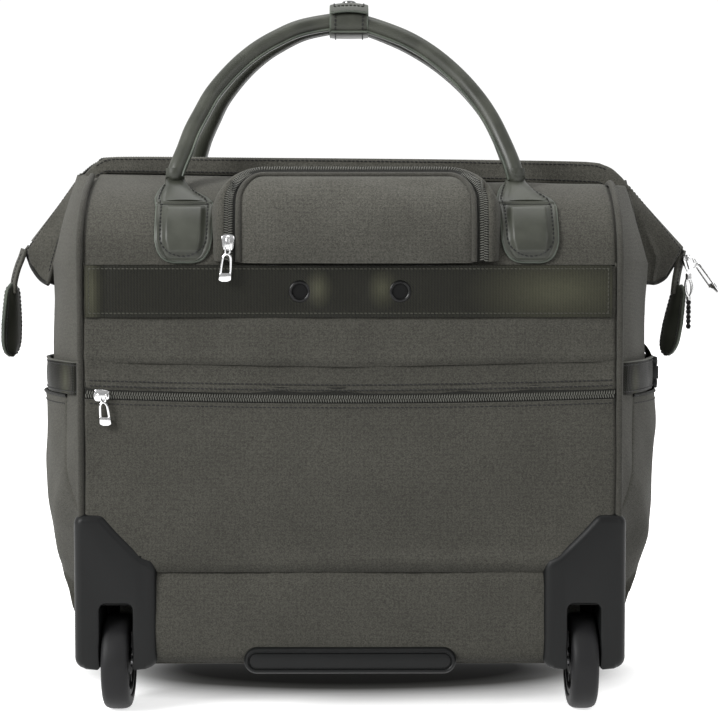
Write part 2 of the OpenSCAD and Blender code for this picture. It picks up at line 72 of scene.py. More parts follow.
def clip01(a):
    return np.clip(a, 0, 1)


def past(a):
    return np.clip(a, 0, None)


def bell(x, width):
    return np.exp(-(x / width) ** 2)


def swell(a):
    """1 in the middle, 0 at -1 and 1."""
    return np.cos(np.pi / 2 * np.clip(a, -1, 1))


# ---- materials


def lin(*srgb):
    return tuple((c / 255 / 12.92 if c <= 10 else ((c / 255 + 0.055) / 1.055) ** 2.4)
        for c in srgb) + (1.0,)


class Mat:
    """A node material: colour varied by noise, bump from a list of height sockets."""

    def __init__(self, name, rough=0.6, spec=0.3, metallic=0.0):
        self.mat = bpy.data.materials.new(name)
        self.mat.use_nodes = True
        self.nt = self.mat.node_tree
        self.bsdf = self.nt.nodes["Principled BSDF"]
        self.put(self.bsdf, {"Roughness": rough, "Specular IOR Level": spec, "Metallic": metallic})
        self.co = self.nt.nodes.new("ShaderNodeTexCoord")

    def put(self, node, values):
        for key, value in values.items():
            socket = node.inputs[key]
            if isinstance(value, bpy.types.NodeSocket):
                self.nt.links.new(value, socket)
            else:
                socket.default_value = value

    def node(self, kind, out=0, props=None, **values):
        made = self.nt.nodes.new("ShaderNode" + kind)
        for key, value in (props or {}).items():
            setattr(made, key, value)
        self.put(made, {(int(k[1:]) if k[0] == "_" else k.replace("_", " ")): v for k, v in values.items()})
        return made.outputs[out]

    def math(self, op, a, b=0.0):
        return self.node("Math", props={"operation": op}, _0=a, _1=b)

    def add(self, a, b):
        return self.math("ADD", a, b)

    def sub(self, a, b):
        return self.math("SUBTRACT", a, b)

    def mul(self, a, b):
        return self.math("MULTIPLY", a, b)

    def oval(self, at, stretch, op):
        """Distance from at in metres, with each axis stretched."""
        off = self.node("VectorMath", props={"operation": "SUBTRACT"}, _0=self.co.outputs["Object"], _1=at)
        return self.node("VectorMath", out=1, props={"operation": "LENGTH"},
            _0=self.node("VectorMath", props={"operation": op}, _0=off, _1=stretch))

    def noise(self, size_mm, detail=2.0, rough=0.5):
        return self.node("TexNoise", Vector=self.co.outputs["Object"], Scale=1000.0 / size_mm,
            Detail=detail, Roughness=rough)

    def ramp(self, fac, lo, hi, a, b):
        return self.node("MapRange", _0=fac, _1=lo, _2=hi, _3=a, _4=b)

    def mix(self, fac, a, b):
        made = self.nt.nodes.new("ShaderNodeMix")
        made.data_type = "RGBA"
        self.put(made, {0: fac, 6: a, 7: b})
        return made.outputs[2]

    def bump(self, height, depth_mm, strength=0.6):
        normal = self.node("Bump", Strength=strength, Distance=depth_mm * MM, Height=height)
        self.put(self.bsdf, {"Normal": normal})

    def uv(self):
        xyz = self.nt.nodes.new("ShaderNodeSeparateXYZ")
        self.nt.links.new(self.co.outputs["UV"], xyz.inputs[0])
        return xyz.outputs[0], xyz.outputs[1]

    def sine(self, value, pitch_mm):
        return self.math("SINE", self.mul(value, TAU / (pitch_mm * MM)))


def cloth(name, dark, light, weave=1.9, speck=0.36, sheen=0.08, rough=0.88):
    m = Mat(name, rough=rough, spec=0.18)
    u, v = m.uv()
    weave_h = m.mul(m.sine(m.add(u, v), weave), m.sine(m.sub(u, v), weave))
    fine, broad = m.noise(0.75, 1.0, 0.5), m.noise(45.0, 3.0)
    yarn = m.node("SeparateColor", _0=m.node("TexVoronoi", out=1, Vector=m.co.outputs["Object"],
        Scale=1300.0))
    fac = m.add(m.mul(m.ramp(fine, 0.5 - speck / 2, 0.5 + speck / 2, 0.0, 1.0), 0.35),
        m.add(m.mul(yarn, speck * 1.2), m.mul(weave_h, 0.38)))
    fac = m.sub(fac, speck * 0.6 - 0.325)
    colour = m.mix(fac, lin(*dark), lin(*light))
    shade = m.ramp(broad, 0.3, 0.7, 0.93, 1.06)
    toned = m.node("VectorMath", props={"operation": "MULTIPLY"}, _0=colour,
        _1=m.node("CombineXYZ", X=shade, Y=shade, Z=shade))
    m.put(m.bsdf, {"Base Color": toned, "Sheen Weight": sheen, "Sheen Roughness": 0.5})
    m.bump(m.add(m.mul(weave_h, 0.6), m.mul(fine, 1.2)), 0.2, 0.6)
    return m.mat


def leather(name, dark, light, rough=0.40):
    m = Mat(name, rough=rough, spec=0.36)
    cells = m.node("TexVoronoi", props={"feature": "SMOOTH_F1"}, Vector=m.co.outputs["Object"],
        Scale=1150.0)
    fine, broad = m.noise(0.5, 2.0), m.noise(22.0, 3.0)
    colour = m.mix(m.ramp(broad, 0.35, 0.65, 0.0, 1.0), lin(*dark), lin(*light))
    m.put(m.bsdf, {"Base Color": colour, "Roughness": m.ramp(broad, 0.3, 0.7, rough - 0.05, rough + 0.09)})
    m.bump(m.add(m.mul(cells, 0.8), m.mul(fine, 0.35)), 0.07, 0.45)
    return m.mat


def webbing(name, dark, light, rough=0.5, sheen_spots=(), spec=0.16):
    """Satin ribbed strap; sheen_spots: (x, z, half width, half height) of painted highlights, spots where
    the colour is lightened to stand in for the satin's sheen.
    """
    m = Mat(name, rough=rough, spec=spec)
    u, v = m.uv()
    rib = m.sine(u, 2.2)
    twill = m.sine(m.add(u, v), 1.9)
    fine, broad = m.noise(0.7), m.noise(30.0)
    h = m.add(m.mul(rib, 0.5), m.mul(twill, 0.35))
    fac = m.add(m.ramp(h, -0.85, 0.85, 0.0, 1.1), m.mul(m.sub(fine, 0.5), 2.4))
    shine = None
    # painted highlight: each spot lightens the colour as the satin's sheen would
    for x, z, wide, tall in sheen_spots:
        near = m.oval((x * MM, -0.098, z * MM), (wide * MM, 1.0, tall * MM), "DIVIDE")
        glow = m.ramp(near, 0.15, 1.0, 1.0, 0.0)
        shine = glow if shine is None else m.math("MAXIMUM", shine, glow)
    if shine is not None:
        fac = m.add(fac, m.mul(shine, 2.4))
        fac = m.mul(fac, m.add(m.mul(shine, 0.6), 1.0))
    mixed = m.mix(fac, lin(*dark), lin(*light))
    mixed.node.clamp_factor = False
    m.put(m.bsdf, {"Base Color": mixed, "Roughness": m.ramp(broad, 0.3, 0.7, rough - 0.07, rough + 0.07)})
    m.bump(h, 0.16, 0.7)
    return m.mat


def plain(name, colour, rough, spec=0.4, metallic=0.0, grain=1.2, depth=0.03, vary=0.12):
    """Moulded, rubbed or plated surfaces: fine grain, slightly uneven gloss and tone."""
    m = Mat(name, rough=rough, spec=spec, metallic=metallic)
    fine, broad = m.noise(grain, 3.0, 0.6), m.noise(26.0, 3.0)
    base = lin(*colour)
    lower = tuple(c * (1 - vary) for c in base[:3]) + (1.0,)
    upper = tuple(min(1.0, c * (1 + vary)) for c in base[:3]) + (1.0,)
    m.put(m.bsdf, {"Base Color": m.mix(m.ramp(broad, 0.3, 0.7, 0.0, 1.0), lower, upper),
        "Roughness": m.ramp(fine, 0.3, 0.7, max(0.02, rough - 0.06), rough + 0.06), "Coat Weight": 0.0})
    m.bump(fine, depth, 0.5)
    return m.mat


CLOTH = cloth("case_cloth", (44, 43, 39), (88, 87, 80))
# painted light: a lighter copy of the case cloth for the trolley flap, which leans back into the top light
CLOTH_LIT = cloth("flap_cloth", (49, 48, 44), (97, 96, 89))
CLOTH_IN = cloth("lining_cloth", (64, 64, 60), (96, 96, 90), weave=0.5, speck=0.7, sheen=0.2, rough=0.7)
LEATHER = leather("trim_leather", (50, 52, 45), (64, 66, 58))
LEATHER_RAW = leather("trim_leather_edge", (74, 80, 72), (92, 98, 88), rough=0.5)
# the spots listed for both webbings are painted satin highlights: by the eyelets, along the band's ends and
# on the side straps
WEB = webbing("webbing", (11, 11, 8), (31, 31, 24), 0.46,
    ((-22.5, 310, 11, 15), (23.5, 310, 12, 16), (-186, 308, 9, 40), (150, 308, 70, 30)))
STRAP = webbing("strap_webbing", (9, 9, 7), (26, 26, 20), 0.5, ((-208, 243, 7, 22), (209, 241, 5, 22)),
    spec=0.05)
PIPING = cloth("piping", (50, 49, 45), (82, 81, 75), weave=0.6, rough=0.8)
THREAD = plain("thread", (11, 11, 10), 0.6, spec=0.4, grain=0.4, depth=0.04)
THREAD_LIGHT = plain("thread_light", (58, 58, 50), 0.6, spec=0.4, grain=0.4, depth=0.04)
TAPE = cloth("zip_tape", (26, 26, 24), (44, 44, 41), weave=0.6, rough=0.8)
COIL = plain("zip_coil", (88, 88, 82), 0.38, spec=0.5, grain=0.5, depth=0.02)
CHROME = plain("zip_chrome", (205, 205, 205), 0.16, metallic=1.0, grain=2.0, depth=0.012, vary=0.06)
PLASTIC = plain("moulded_plastic", (13, 14, 14), 0.44, spec=0.20, grain=0.55, depth=0.05, vary=0.10)
# painted shade: a darker copy of the plastic, for the wheel wells and the discs behind the eyelet holes
PLASTIC_SHADED = plain("plastic_painted_shade", (8, 8, 8), 0.7, spec=0.15)
RUBBER = plain("wheel_rubber", (24, 24, 25), 0.52, spec=0.22, grain=0.8, depth=0.05)
HUB = plain("hub_plastic", (16, 16, 17), 0.42, spec=0.35)
STEEL = plain("steel", (160, 160, 162), 0.34, metallic=1.0, grain=0.8, depth=0.015)
ALU = plain("anodised_tube", (176, 178, 182), 0.3, metallic=1.0, grain=0.7, depth=0.01)
EYELET = plain("eyelet_enamel", (5, 5, 5), 0.30, spec=0.22, grain=3.0, depth=0.01)
SNAP = plain("snap_metal", (120, 120, 120), 0.18, metallic=1.0, grain=2.0, depth=0.01)
BOARD = plain("board", (70, 70, 66), 0.8, spec=0.2, grain=1.4, depth=0.08)

# ---- mesh tools


def grid(points, closed_u=False, closed_v=False):
    """points: array rows x columns x 3 -> (verts, faces)."""
    nv, nu = points.shape[:2]
    faces = [(j * nu + i, j * nu + (i + 1) % nu, (j + 1) % nv * nu + (i + 1) % nu, (j + 1) % nv * nu + i)
        for j in range(nv if closed_v else nv - 1) for i in range(nu if closed_u else nu - 1)]
    return points.reshape(-1, 3), faces


def capped(rings):
    """A closed skin over a stack of rings."""
    v, f = grid(np.array(rings), closed_u=True)
    m = len(rings[0])
    return v, f + [tuple(range(m))[::-1], tuple(range(len(v) - m, len(v)))]


def arc_length(p):
    return np.concatenate([[0], np.cumsum(np.linalg.norm(np.diff(p, axis=0), axis=1))])


def pick(at, s, p):
    """The rows of p, known at s, at other distances."""
    return np.stack([np.interp(at, s, p[:, k]) for k in range(p.shape[1])], axis=1)


def slab(points, thick, out, keep=None):
    """A sheet of cloth: the outer surface, the inner one behind it and the rim between."""
    nv, nu = points.shape[:2]
    du, dv = np.gradient(points, axis=1), np.gradient(points, axis=0)
    n = np.cross(du, dv)
    n /= np.maximum(np.linalg.norm(n, axis=2, keepdims=True), 1e-9)
    mid = n[nv // 2, nu // 2]
    if np.dot(mid, np.array(out, float)) < 0:
        n = -n
    v, faces = grid(points)
    if keep is not None:
        faces = [f for f in faces if keep(v[list(f)].mean(axis=0))]
    inner = (points - n * thick).reshape(-1, 3)
    count, rim = len(v), {}
    for f in faces:
        for a, b in zip(f, f[1:] + f[:1]):
            if (b, a) in rim:
                del rim[(b, a)]
            else:
                rim[(a, b)] = True
    back = [tuple(i + count for i in reversed(f)) for f in faces]
    edge = [(b, a, a + count, b + count) for a, b in rim]
    return np.vstack([v, inner]), faces + back + edge


def spline(points, n=None, step=None):
    """Even points along a Catmull-Rom curve through the given ones."""
    p = np.array(points, float)
    p = np.vstack([2 * p[0] - p[1], p, 2 * p[-1] - p[-2]])
    dense = []
    for k in range(1, len(p) - 2):
        a, b, c, d = p[k - 1:k + 3]
        for t in span(0, 1, 24, endpoint=False):
            dense.append(0.5 * (2 * b + (c - a) * t + (2 * a - 5 * b + 4 * c - d) * t * t
                + (3 * b - a - 3 * c + d) * t ** 3))
    dense.append(p[-2])
    dense = np.array(dense)
    s = arc_length(dense)
    return pick(span(0, s[-1], n or max(2, int(round(s[-1] / step)) + 1)), s, dense)


def polyline(points, step):
    p = np.array(points, float)
    s = arc_length(p)
    return pick(span(0, s[-1], max(2, int(round(s[-1] / step)) + 1)), s, p)


def unit(a):
    return a / np.maximum(np.linalg.norm(a, axis=-1, keepdims=True), 1e-9)


def tangents(p, closed=False):
    return unit(np.roll(p, -1, 0) - np.roll(p, 1, 0)) if closed else unit(np.gradient(p, axis=0))


def sweep(path, profile, up, closed=False, scale=None):
    """profile: (side, up) pairs; up: one vector or one per point; scale: a factor pair per point."""
    p, prof = np.array(path, float), np.array(profile, float)
    t = tangents(p, closed)
    n = np.broadcast_to(np.array(up, float), p.shape)
    n = unit(n - t * (n * t).sum(1, keepdims=True))
    b = np.cross(t, n)
    sc = np.ones((len(p), 2)) if scale is None else np.array(scale, float)
    rings = (p[:, None] + b[:, None] * (prof[None, :, :1] * sc[:, None, :1]) + n[:, None]
        * (prof[None, :, 1:] * sc[:, None, 1:]))
    return grid(rings, True, True) if closed else capped(rings)


def circ(r, n=12):
    return [(r * cos(TAU * k / n), r * sin(TAU * k / n)) for k in range(n)]


def rrect(w, h, r, seg=3):
    """Rounded rectangle profile, width w, height h, centred."""
    made = []
    for cx, cy, a0 in ((w / 2 - r, h / 2 - r, 0), (r - w / 2, h / 2 - r, 90), (r - w / 2, r - h / 2, 180),
            (w / 2 - r, r - h / 2, 270)):
        for k in range(seg + 1):
            a = radians(a0 + 90 * k / seg)
            made.append((cx + r * cos(a), cy + r * sin(a)))
    return made


def tube(path, r, n=12, closed=False):
    """Round tube with frames carried along the path."""
    p = np.array(path, float)
    t = tangents(p, closed)
    ups = [np.cross(t[0], (0.31, 0.52, 0.79))]
    for k in range(1, len(p)):
        ups.append(ups[-1] - t[k] * np.dot(ups[-1], t[k]))
    return sweep(p, circ(r, n), unit(np.array(ups)), closed)


def lathe(profile, centre, axis, n=48):
    """profile: (along axis, radius) pairs, closed when its ends meet the axis or each other."""
    axis = unit(np.array(axis, float))
    a = unit(np.cross(axis, (0.3, 0.9, 0.2)))
    b = np.cross(axis, a)
    ring = [[np.array(centre) + axis * h + (a * cos(TAU * k / n) + b * sin(TAU * k / n)) * r
        for k in range(n)] for h, r in profile]
    return grid(np.array(ring), closed_u=True)


def put(shape, at=(0, 0, 0), x=RIGHT, y=FRONT, z=None):
    """Places a local shape with the given axes."""
    ex, ey = unit(np.array(x, float)), unit(np.array(y, float))
    ez = np.cross(ex, ey) if z is None else np.array(z, float)
    v = np.array(shape[0], float)
    return np.array(at, float) + v[:, :1] * ex + v[:, 1:2] * ey + v[:, 2:3] * ez, shape[1]


def prism(outline, z0, z1, bevel=0.5, seg=2, angle=25):
    """A bevelled plate from a closed outline in local XY."""
    bm = bmesh.new()
    low = [bm.verts.new((x, y, z0)) for x, y in outline]
    face = bm.faces.new(low)
    top = bmesh.ops.extrude_face_region(bm, geom=[face])
    bmesh.ops.translate(bm, vec=(0, 0, z1 - z0), verts=[v for v in top["geom"]
        if isinstance(v, bmesh.types.BMVert)])
    bmesh.ops.recalc_face_normals(bm, faces=bm.faces)
    if bevel:
        edges = [e for e in bm.edges if e.is_manifold and e.calc_face_angle() > radians(angle)]
        bmesh.ops.bevel(bm, geom=edges, offset=bevel, segments=seg, profile=0.5, affect="EDGES")
    bm.verts.index_update()
    made = np.array([v.co[:] for v in bm.verts]), [tuple(v.index for v in f.verts) for f in bm.faces]
    bm.free()
    return made


def capsule():
    """A closed capsule, length and width 1, along X: rings of six points between two tips."""
    v = [(-0.5, 0, 0)] + [(x, r * cos(TAU * k / 6), r * sin(TAU * k / 6)) for x,
        r in ((-0.42, 0.62), (0.0, 1.0), (0.42, 0.62)) for k in range(6)] + [(0.5, 0, 0)]
    f = [(0, 1 + (k + 1) % 6, 1 + k) for k in range(6)]
    f += [(1 + j + k, 1 + j + (k + 1) % 6, 7 + j + (k + 1) % 6, 7 + j + k) for j in (0, 6)
        for k in range(6)]
    return np.array(v, float), f + [(19, 13 + k, 13 + (k + 1) % 6) for k in range(6)]


CAPSULE = capsule()


def blobs(centres, t, n, b, length, wide, high):
    """Many small closed capsules: stitches, teeth, beads."""
    one, faces = CAPSULE
    v = (centres[:, None] + t[:, None] * one[None, :, :1] * length + b[:, None] * one[None, :, 1:2] * wide
        + n[:, None] * one[None, :, 2:] * high).reshape(-1, 3)
    return v, [tuple(i + k * len(one) for i in face) for k in range(len(centres)) for face in faces]


def along(path, up, start, pitch):
    """Evenly pitched places on a path, with their tangents and ups."""
    p = np.array(path, float)
    s = arc_length(p)
    at = np.arange(start, s[-1], pitch)
    ups = np.broadcast_to(np.array(up, float), p.shape)
    return pick(at, s, p), unit(pick(at, s, unit(np.gradient(p, axis=0)))), unit(pick(at, s, ups))


def stitches(path, up, pitch=3.3, length=2.5, r=0.40, lift=0.16):
    """A row of lockstitches along a path, lying on the surface whose normal is up."""
    c, t, u = along(path, up, pitch / 2, pitch)
    t = unit(t + np.cross(t, u) * 0.10)
    return blobs(c + u * (lift + 0.1), t, u, np.cross(t, u), length, r * 1.6, r * 1.15)


def teeth(path, up, pitch=1.9, half=2.9, r=0.66):
    """A closed nylon coil: two rows of short bars that meet in the middle."""
    out = []
    for side in (-1, 1):
        c, t, u = along(path, up, pitch * (0.5 if side > 0 else 1.0), pitch)
        b = np.cross(t, u)
        out.append(blobs(c + b * side * half * 0.46, unit(b + t * 0.18 * side), u, t, half * 1.12, r, r
            * 0.9))
    return out


def ripple(x, y, size, seed):
    """Smooth, repeatable unevenness of soft cloth, about -1 to 1."""
    rng = np.random.default_rng(seed)
    total = 0.0
    for _ in range(6):
        a, p, k = rng.uniform(0, TAU), rng.uniform(0, TAU), TAU / (size * rng.uniform(0.7, 1.6))
        total = total + np.sin((x * cos(a) + y * sin(a)) * k + p)
    return total / 3.0


def smooth(a, b, x):
    t = clip01((np.asarray(x, float) - a) / (b - a))
    return t * t * (3 - 2 * t)


class Piece:
    """One object put together from several closed shapes, each with its own material."""

    def __init__(self, name, node="", body="root", slot="case_cloth"):
        self.name, self.body, self.slot, self.nodes = name, body, slot, node.split()
        self.v, self.f, self.m, self.mats, self.count = [], [], [], [], 0

    def add(self, shape, mat):
        if isinstance(shape, list):
            for one in shape:
                self.add(one, mat)
            return self
        v, f = shape
        if mat not in self.mats:
            self.mats.append(mat)
        k = self.mats.index(mat)
        self.v.append(np.array(v, float).reshape(-1, 3))
        self.f += [tuple(int(i) + self.count for i in face) for face in f]
        self.m += [k] * len(f)
        self.count += len(self.v[-1])
        return self

    def sew(self, *row, mat=None):
        return self.add(stitches(*row), mat or THREAD)

    def wall(self, x, y, z, thick, out, keep=None, mat=None):
        return self.add(slab(np.dstack([x, y, z]), thick, out, keep), mat or CLOTH)

    def make(self, sharp=38, blend=None):
        me = bpy.data.meshes.new(self.name)
        me.from_pydata((np.vstack(self.v) * MM).tolist(), [], self.f)
        me.polygons.foreach_set("material_index", self.m)
        for mat in self.mats:
            me.materials.append(mat)
        bm = bmesh.new()
        bm.from_mesh(me)
        bmesh.ops.remove_doubles(bm, verts=bm.verts, dist=1e-7)
        bmesh.ops.recalc_face_normals(bm, faces=bm.faces)
        bm.to_mesh(me)
        bm.free()
        ob = bpy.data.objects.new(self.name, me)
        bpy.context.scene.collection.objects.link(ob)
        me.shade_smooth()
        me.set_sharp_from_angle(angle=radians(sharp))
        box_uv(me)
        if self.nodes:
            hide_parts(*self.nodes)
        if blend:
            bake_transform(ob)
        else:
            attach(ob, self.body)
        return ob


def box_uv(me):
    """UVs in metres from the side each face looks to, so a weave keeps its real scale."""
    layer = me.uv_layers.new(name="UVMap")

    def read(items, key, kind, wide=1):
        got = np.empty(len(items) * wide, kind)
        items.foreach_get(key, got)
        return got.reshape(-1, 3) if wide == 3 else got

    c = read(me.vertices, "co", float, 3)[read(me.loops, "vertex_index", int)]
    side = np.abs(read(me.polygons, "normal", float, 3)).argmax(1)
    side = np.repeat(side, read(me.polygons, "loop_total", int))[:, None]
    uv = np.where(side == 0, c[:, 1:3], np.where(side == 1, c[:, [0, 2]], c[:, :2]))
    layer.data.foreach_set("uv", uv.astype(np.float32).ravel())


# ---- camera, light, floor

scene = bpy.context.scene
cam = bpy.data.objects.new("camera", bpy.data.cameras.new("camera"))
cam.data.sensor_fit, cam.data.sensor_width, cam.data.lens = "HORIZONTAL", 36.0, 93.9
cam.location = (0, -1.445, 0.334)
cam.rotation_euler = (radians(86.8), 0, radians(-0.29))
scene.collection.objects.link(cam)
scene.camera = cam
scene.view_settings.view_transform = "Standard"

world = bpy.data.worlds.new("studio")
world.use_nodes = True
scene.world = world
wn = world.node_tree
wco = wn.nodes.new("ShaderNodeTexCoord")
wsep = wn.nodes.new("ShaderNodeSeparateXYZ")
wlow = wn.nodes.new("ShaderNodeMapRange")
wmap = wn.nodes.new("ShaderNodeMapRange")
wn.links.new(wco.outputs["Generated"], wsep.inputs[0])
wn.links.new(wsep.outputs[2], wlow.inputs[0])
wn.links.new(wsep.outputs[1], wmap.inputs[0])
for made, values in ((wlow, (-0.45, 0.35, 0.16, 0.62)), (wmap, (-0.45, 0.55, 0.5, 1.06))):
    for key, value in enumerate(values, 1):
        made.inputs[key].default_value = value
wn.links.new(wlow.outputs[0], wmap.inputs[3])
wn.links.new(wmap.outputs[0], wn.nodes["Background"].inputs["Strength"])
wn.nodes["Background"].inputs["Color"].default_value = (1, 1, 1, 1)


def area(name, at, aim, size, power, spread=180):
    light = bpy.data.lights.new(name, "AREA")
    light.shape, light.size, light.energy = "DISK", size, power
    light.spread = radians(spread)
    ob = bpy.data.objects.new(name, light)
    ob.location = at
    ob.rotation_euler = (Vector(aim) - Vector(at)).to_track_quat("-Z", "Y").to_euler()
    scene.collection.objects.link(ob)
    return ob


area("key", (-2.0, -1.6, 1.5), (0, 0, 0.25), 1.3, 74)
area("fill", (1.7, -2.2, 1.4), (0, 0, 0.25), 1.6, 14)
area("top", (0.0, 0.1, 2.4), (0, 0, 0.3), 1.6, 20)

floor_me = bpy.data.meshes.new("floor")
floor_me.from_pydata([(-9, -9, 0), (9, -9, 0), (9, 9, 0), (-9, 9, 0)], [], [(0, 1, 2, 3)])
floor = bpy.data.objects.new("floor", floor_me)
scene.collection.objects.link(floor)
floor_mat = Mat("floor", rough=0.9, spec=0.0)
# the photo's shadow is a dark pool under the middle of the case that is gone before its wheels
pool = floor_mat.oval((0.0, 0.062, 0.0), (1 / 0.225, 1 / 0.096, 0.0), "MULTIPLY")
floor_mat.put(floor_mat.bsdf, {"Base Color": floor_mat.mix(floor_mat.ramp(pool, 0.60, 1.05, 0.0, 1.0),
    (0.10, 0.10, 0.10, 1), (0.93, 0.93, 0.93, 1)), "Emission Color": (1, 1, 1, 1),
    "Emission Strength": floor_mat.ramp(pool, 0.78, 1.30, 0.0, 0.66)})
floor_me.materials.append(floor_mat.mat)
floor.visible_diffuse = False

# ---- the body's outline

ROOF = np.array([(327, 95, 227), (348, 90.5, 221.5), (366, 78, 217), (379, 60, 213.5), (388, 38, 211),
    (394, 13, 209)], float)
ROOF_FINE = spline(ROOF, n=60)


def roof_row(t):
    """z, half depth and half width of the roof at t, 0 at the walls and 1 at the header."""
    k = clip01(np.asarray(t, float)) * (len(ROOF_FINE) - 1)
    i = np.arange(len(ROOF_FINE))
    return [np.interp(k, i, ROOF_FINE[:, c]) for c in range(3)]


def roof_y(z):
    """How far back the roof is at height z."""
    return np.interp(z, ROOF_FINE[:, 0], ROOF_FINE[:, 1])


def header_low(x):
    """The header band's lower edge: it hangs lower towards the right."""
    return np.interp(x, [-194, 0, 194], [395.5, 392.5, 386.0])


def housing_edge(z):
    """The wheel housing's front edge on the side of the case, y at height z."""
    return np.interp(z, [34, 70, 120, 150, 330], [-25, -25, -62, -90, -240])


def side_bulge(y, z):
    """How far the soft side stands out from the panel corner."""
    full = np.interp(z, [39.5, 46, 62, 85, 120, 200, 300, 327], [8, 15, 22, 28, 31, 32, 31.5, 33])
    near = smooth(0, 46, y - housing_edge(z))
    return full * swell(y / HD) ** 0.9 * np.where(y < 0, 0.10 + 0.90 * near, 1.0)


# ---- back panel

def back_grid(x0, x1, z0, z1, step=3.0):
    nx, nz = int((x1 - x0) / step) + 1, int((z1 - z0) / step) + 1
    fine = np.array([0.7, 1.4, 2.1, 2.8, 3.6, 4.6, 6.0])
    xs = np.unique(np.round(np.concatenate([span(x0, x1, nx)[4:-4], [x0, x1], x0 + fine, x1 - fine]), 3))
    return np.meshgrid(xs, span(z0, z1, nz))


def tuck(x, deep=2.4):
    """How far cloth sinks beside the piping at the panel's upright edges."""
    return deep * bell(past(PX - 1.4 - np.abs(x)), 1.7)


def pucker(x, dist, pitch=9.0, reach=12.0, seed=3):
    """Small gathers that run away from a seam at distance dist."""
    return (np.sin(x * TAU / pitch + 1.7 * np.sin(x / 31.0 + seed)) * 0.5
        + np.sin(x * TAU / (pitch * 1.7) + seed)) * 0.28 * np.exp(-np.abs(dist) / reach)


lower = Piece("lower_back_band", "back_panel")
X, Z = back_grid(-PX, PX, 36, SEAM_LOW + 1)
h = (Z - 36) / (SEAM_LOW - 36)
Y = -HD - 0.6 - 2.6 * np.sin(np.pi * clip01(h)) ** 0.6 * np.cos(X / PX * 1.25)
Y += 7.0 * clip01(1 - (Z - 36) / 7.0) ** 2
Y -= ripple(X, Z * 1.6, 85, 11) * 0.9 * smooth(0, 0.3, h) + pucker(X, Z - SEAM_LOW, 11, 10, 1)
Y += 1.6 * bell(Z - SEAM_LOW, 5.0) + tuck(X)


def clear_of_housing(c):
    """The moulded corners take the place of the cloth behind them."""
    return not (abs(c[0]) > 147 and c[2] < 108 or abs(c[0]) > 150 and c[2] < 118)


lower.wall(X, Y, Z, 1.2, BACK, clear_of_housing)
lower.make()

pocket = Piece("back_pocket_panel", "pocket_panel")


def zip_z(x):
    return 230.6 + 3.6 * (np.asarray(x) / PX) ** 2


def pocket_y(x, z):
    h = clip01((z - SEAM_LOW) / (226 - SEAM_LOW))
    y = -HD - 1.6 - 2.8 * np.sin(np.pi * h ** 0.85) ** 0.8 * np.cos(x / PX * 1.35)
    sag = 2.2 * bell(z - SEAM_LOW - 7, 6.0) * (0.6 + 0.4 * np.sin(x / 47.0))
    calm = smooth(0, .15, h) * (1 - 0.8 * smooth(0.8, 1, h))
    return y - 0.7 - sag - ripple(x, z, 95, 21) * 1.1 * calm - pucker(x, z - SEAM_LOW, 13, 9, 2)


X, Z = back_grid(-PX + 1, PX - 1, SEAM_LOW - 1.5, 226.5)
top = zip_z(X) - 3.5
Zs = SEAM_LOW - 1.5 + (Z - Z.min()) / (Z.max() - Z.min()) * (top - SEAM_LOW + 1.5)
Y = pocket_y(X, Zs) + tuck(X)
Y += 1.5 * clip01(1 - (Zs - SEAM_LOW + 1.5) / 2.4) ** 2 - 0.5 * bell(Zs - top + 1, 2.0)
pocket.wall(X, Y, Zs, 1.3, BACK, clear_of_housing)
line = np.array([(x, pocket_y(x, zip_z(x) - 6.5), zip_z(x) - 6.5) for x in span(-PX + 6, PX - 6, 130)])
pocket.sew(line, BACK, 3.2, 2.5, 0.33, 0.1)
pocket.make()

tape = Piece("pocket_zip", "pocket_zip_tape", slot="zip_coil")
line = np.array([(x, -HD - 1.5, zip_z(x)) for x in span(-PX + 3, PX - 3, 140)])
tape.add(sweep(line, rrect(17, 0.8, 0.3, 1), BACK), TAPE)
tape.add(teeth(line + (0, -0.9, 0), BACK, 1.8, 2.7, 0.62), COIL)
tape.make()


def welt_top(x):
    return np.interp(x, [-PX, 0, PX], [257.6, 254.0, 258.2])


def welt_low(x):
    return zip_z(x) + 3.7


welt = Piece("zip_welt", "pocket_welt")
xs = back_grid(-PX + 1, PX - 1, 0, 1)[0][0]
hs = span(0, 1, 12)
X, Hh = np.meshgrid(xs, hs)
Zs = welt_low(X) + Hh * (welt_top(X) + 1.2 - welt_low(X))
Y = -HD - 1.2 - 1.9 * (1 - Hh) ** 1.6 * (0.8 + 0.2 * np.sin(X / 26)) - 1.1 * Hh ** 3 - ripple(X, Zs, 60,
    31) * 0.45
Y += 0.9 * clip01(1 - Hh / 0.06) + tuck(X)
welt.wall(X, Y, Zs, 1.3, BACK)
for up_by in (0.12, 0.30):
    k = [(x, -HD - 1.35 - 1.9 * (1 - up_by) ** 1.6 * (0.8 + 0.2 * sin(x / 26)), welt_low(x) + up_by
        * (welt_top(x) + 1.2 - welt_low(x))) for x in span(-PX + 6, PX - 6, 130)]
    welt.sew(k, BACK, 3.2, 2.5, 0.33, 0.35)
welt.make()

upper = Piece("upper_back_band")
hs = span(0, 1, 24)
X, Hh = np.meshgrid(xs, hs)
Zs = welt_top(X) - 0.5 + Hh * (326.5 - welt_top(X))


def upper_y(x, z):
    h = clip01((z - welt_top(x)) / (327 - welt_top(x)))
    return -HD - 2.4 * (1 - h) ** 0.7 * (0.85 + 0.15 * np.cos(x / 60)) - 0.9 - ripple(x, z, 75,
        41) * 0.8 * (1 - h)


Y = upper_y(X, Zs)
Y += 1.4 * clip01(1 - Hh / 0.03) ** 2 - 1.3 * bell(Hh, 0.16)
Y += 0.8 * bell(Zs - WEB_Z0, 4.0) + tuck(X)
upper.wall(X, Y, Zs, 1.3, BACK)
upper.make()

# ---- webbing band and its eyelets

band = Piece("back_webbing_band", "back_webbing", slot="webbing")
X, Zs = np.meshgrid(span(-190.5, 188.5, 190), span(WEB_Z0 + 0.3, WEB_Z1 - 0.3, 20))


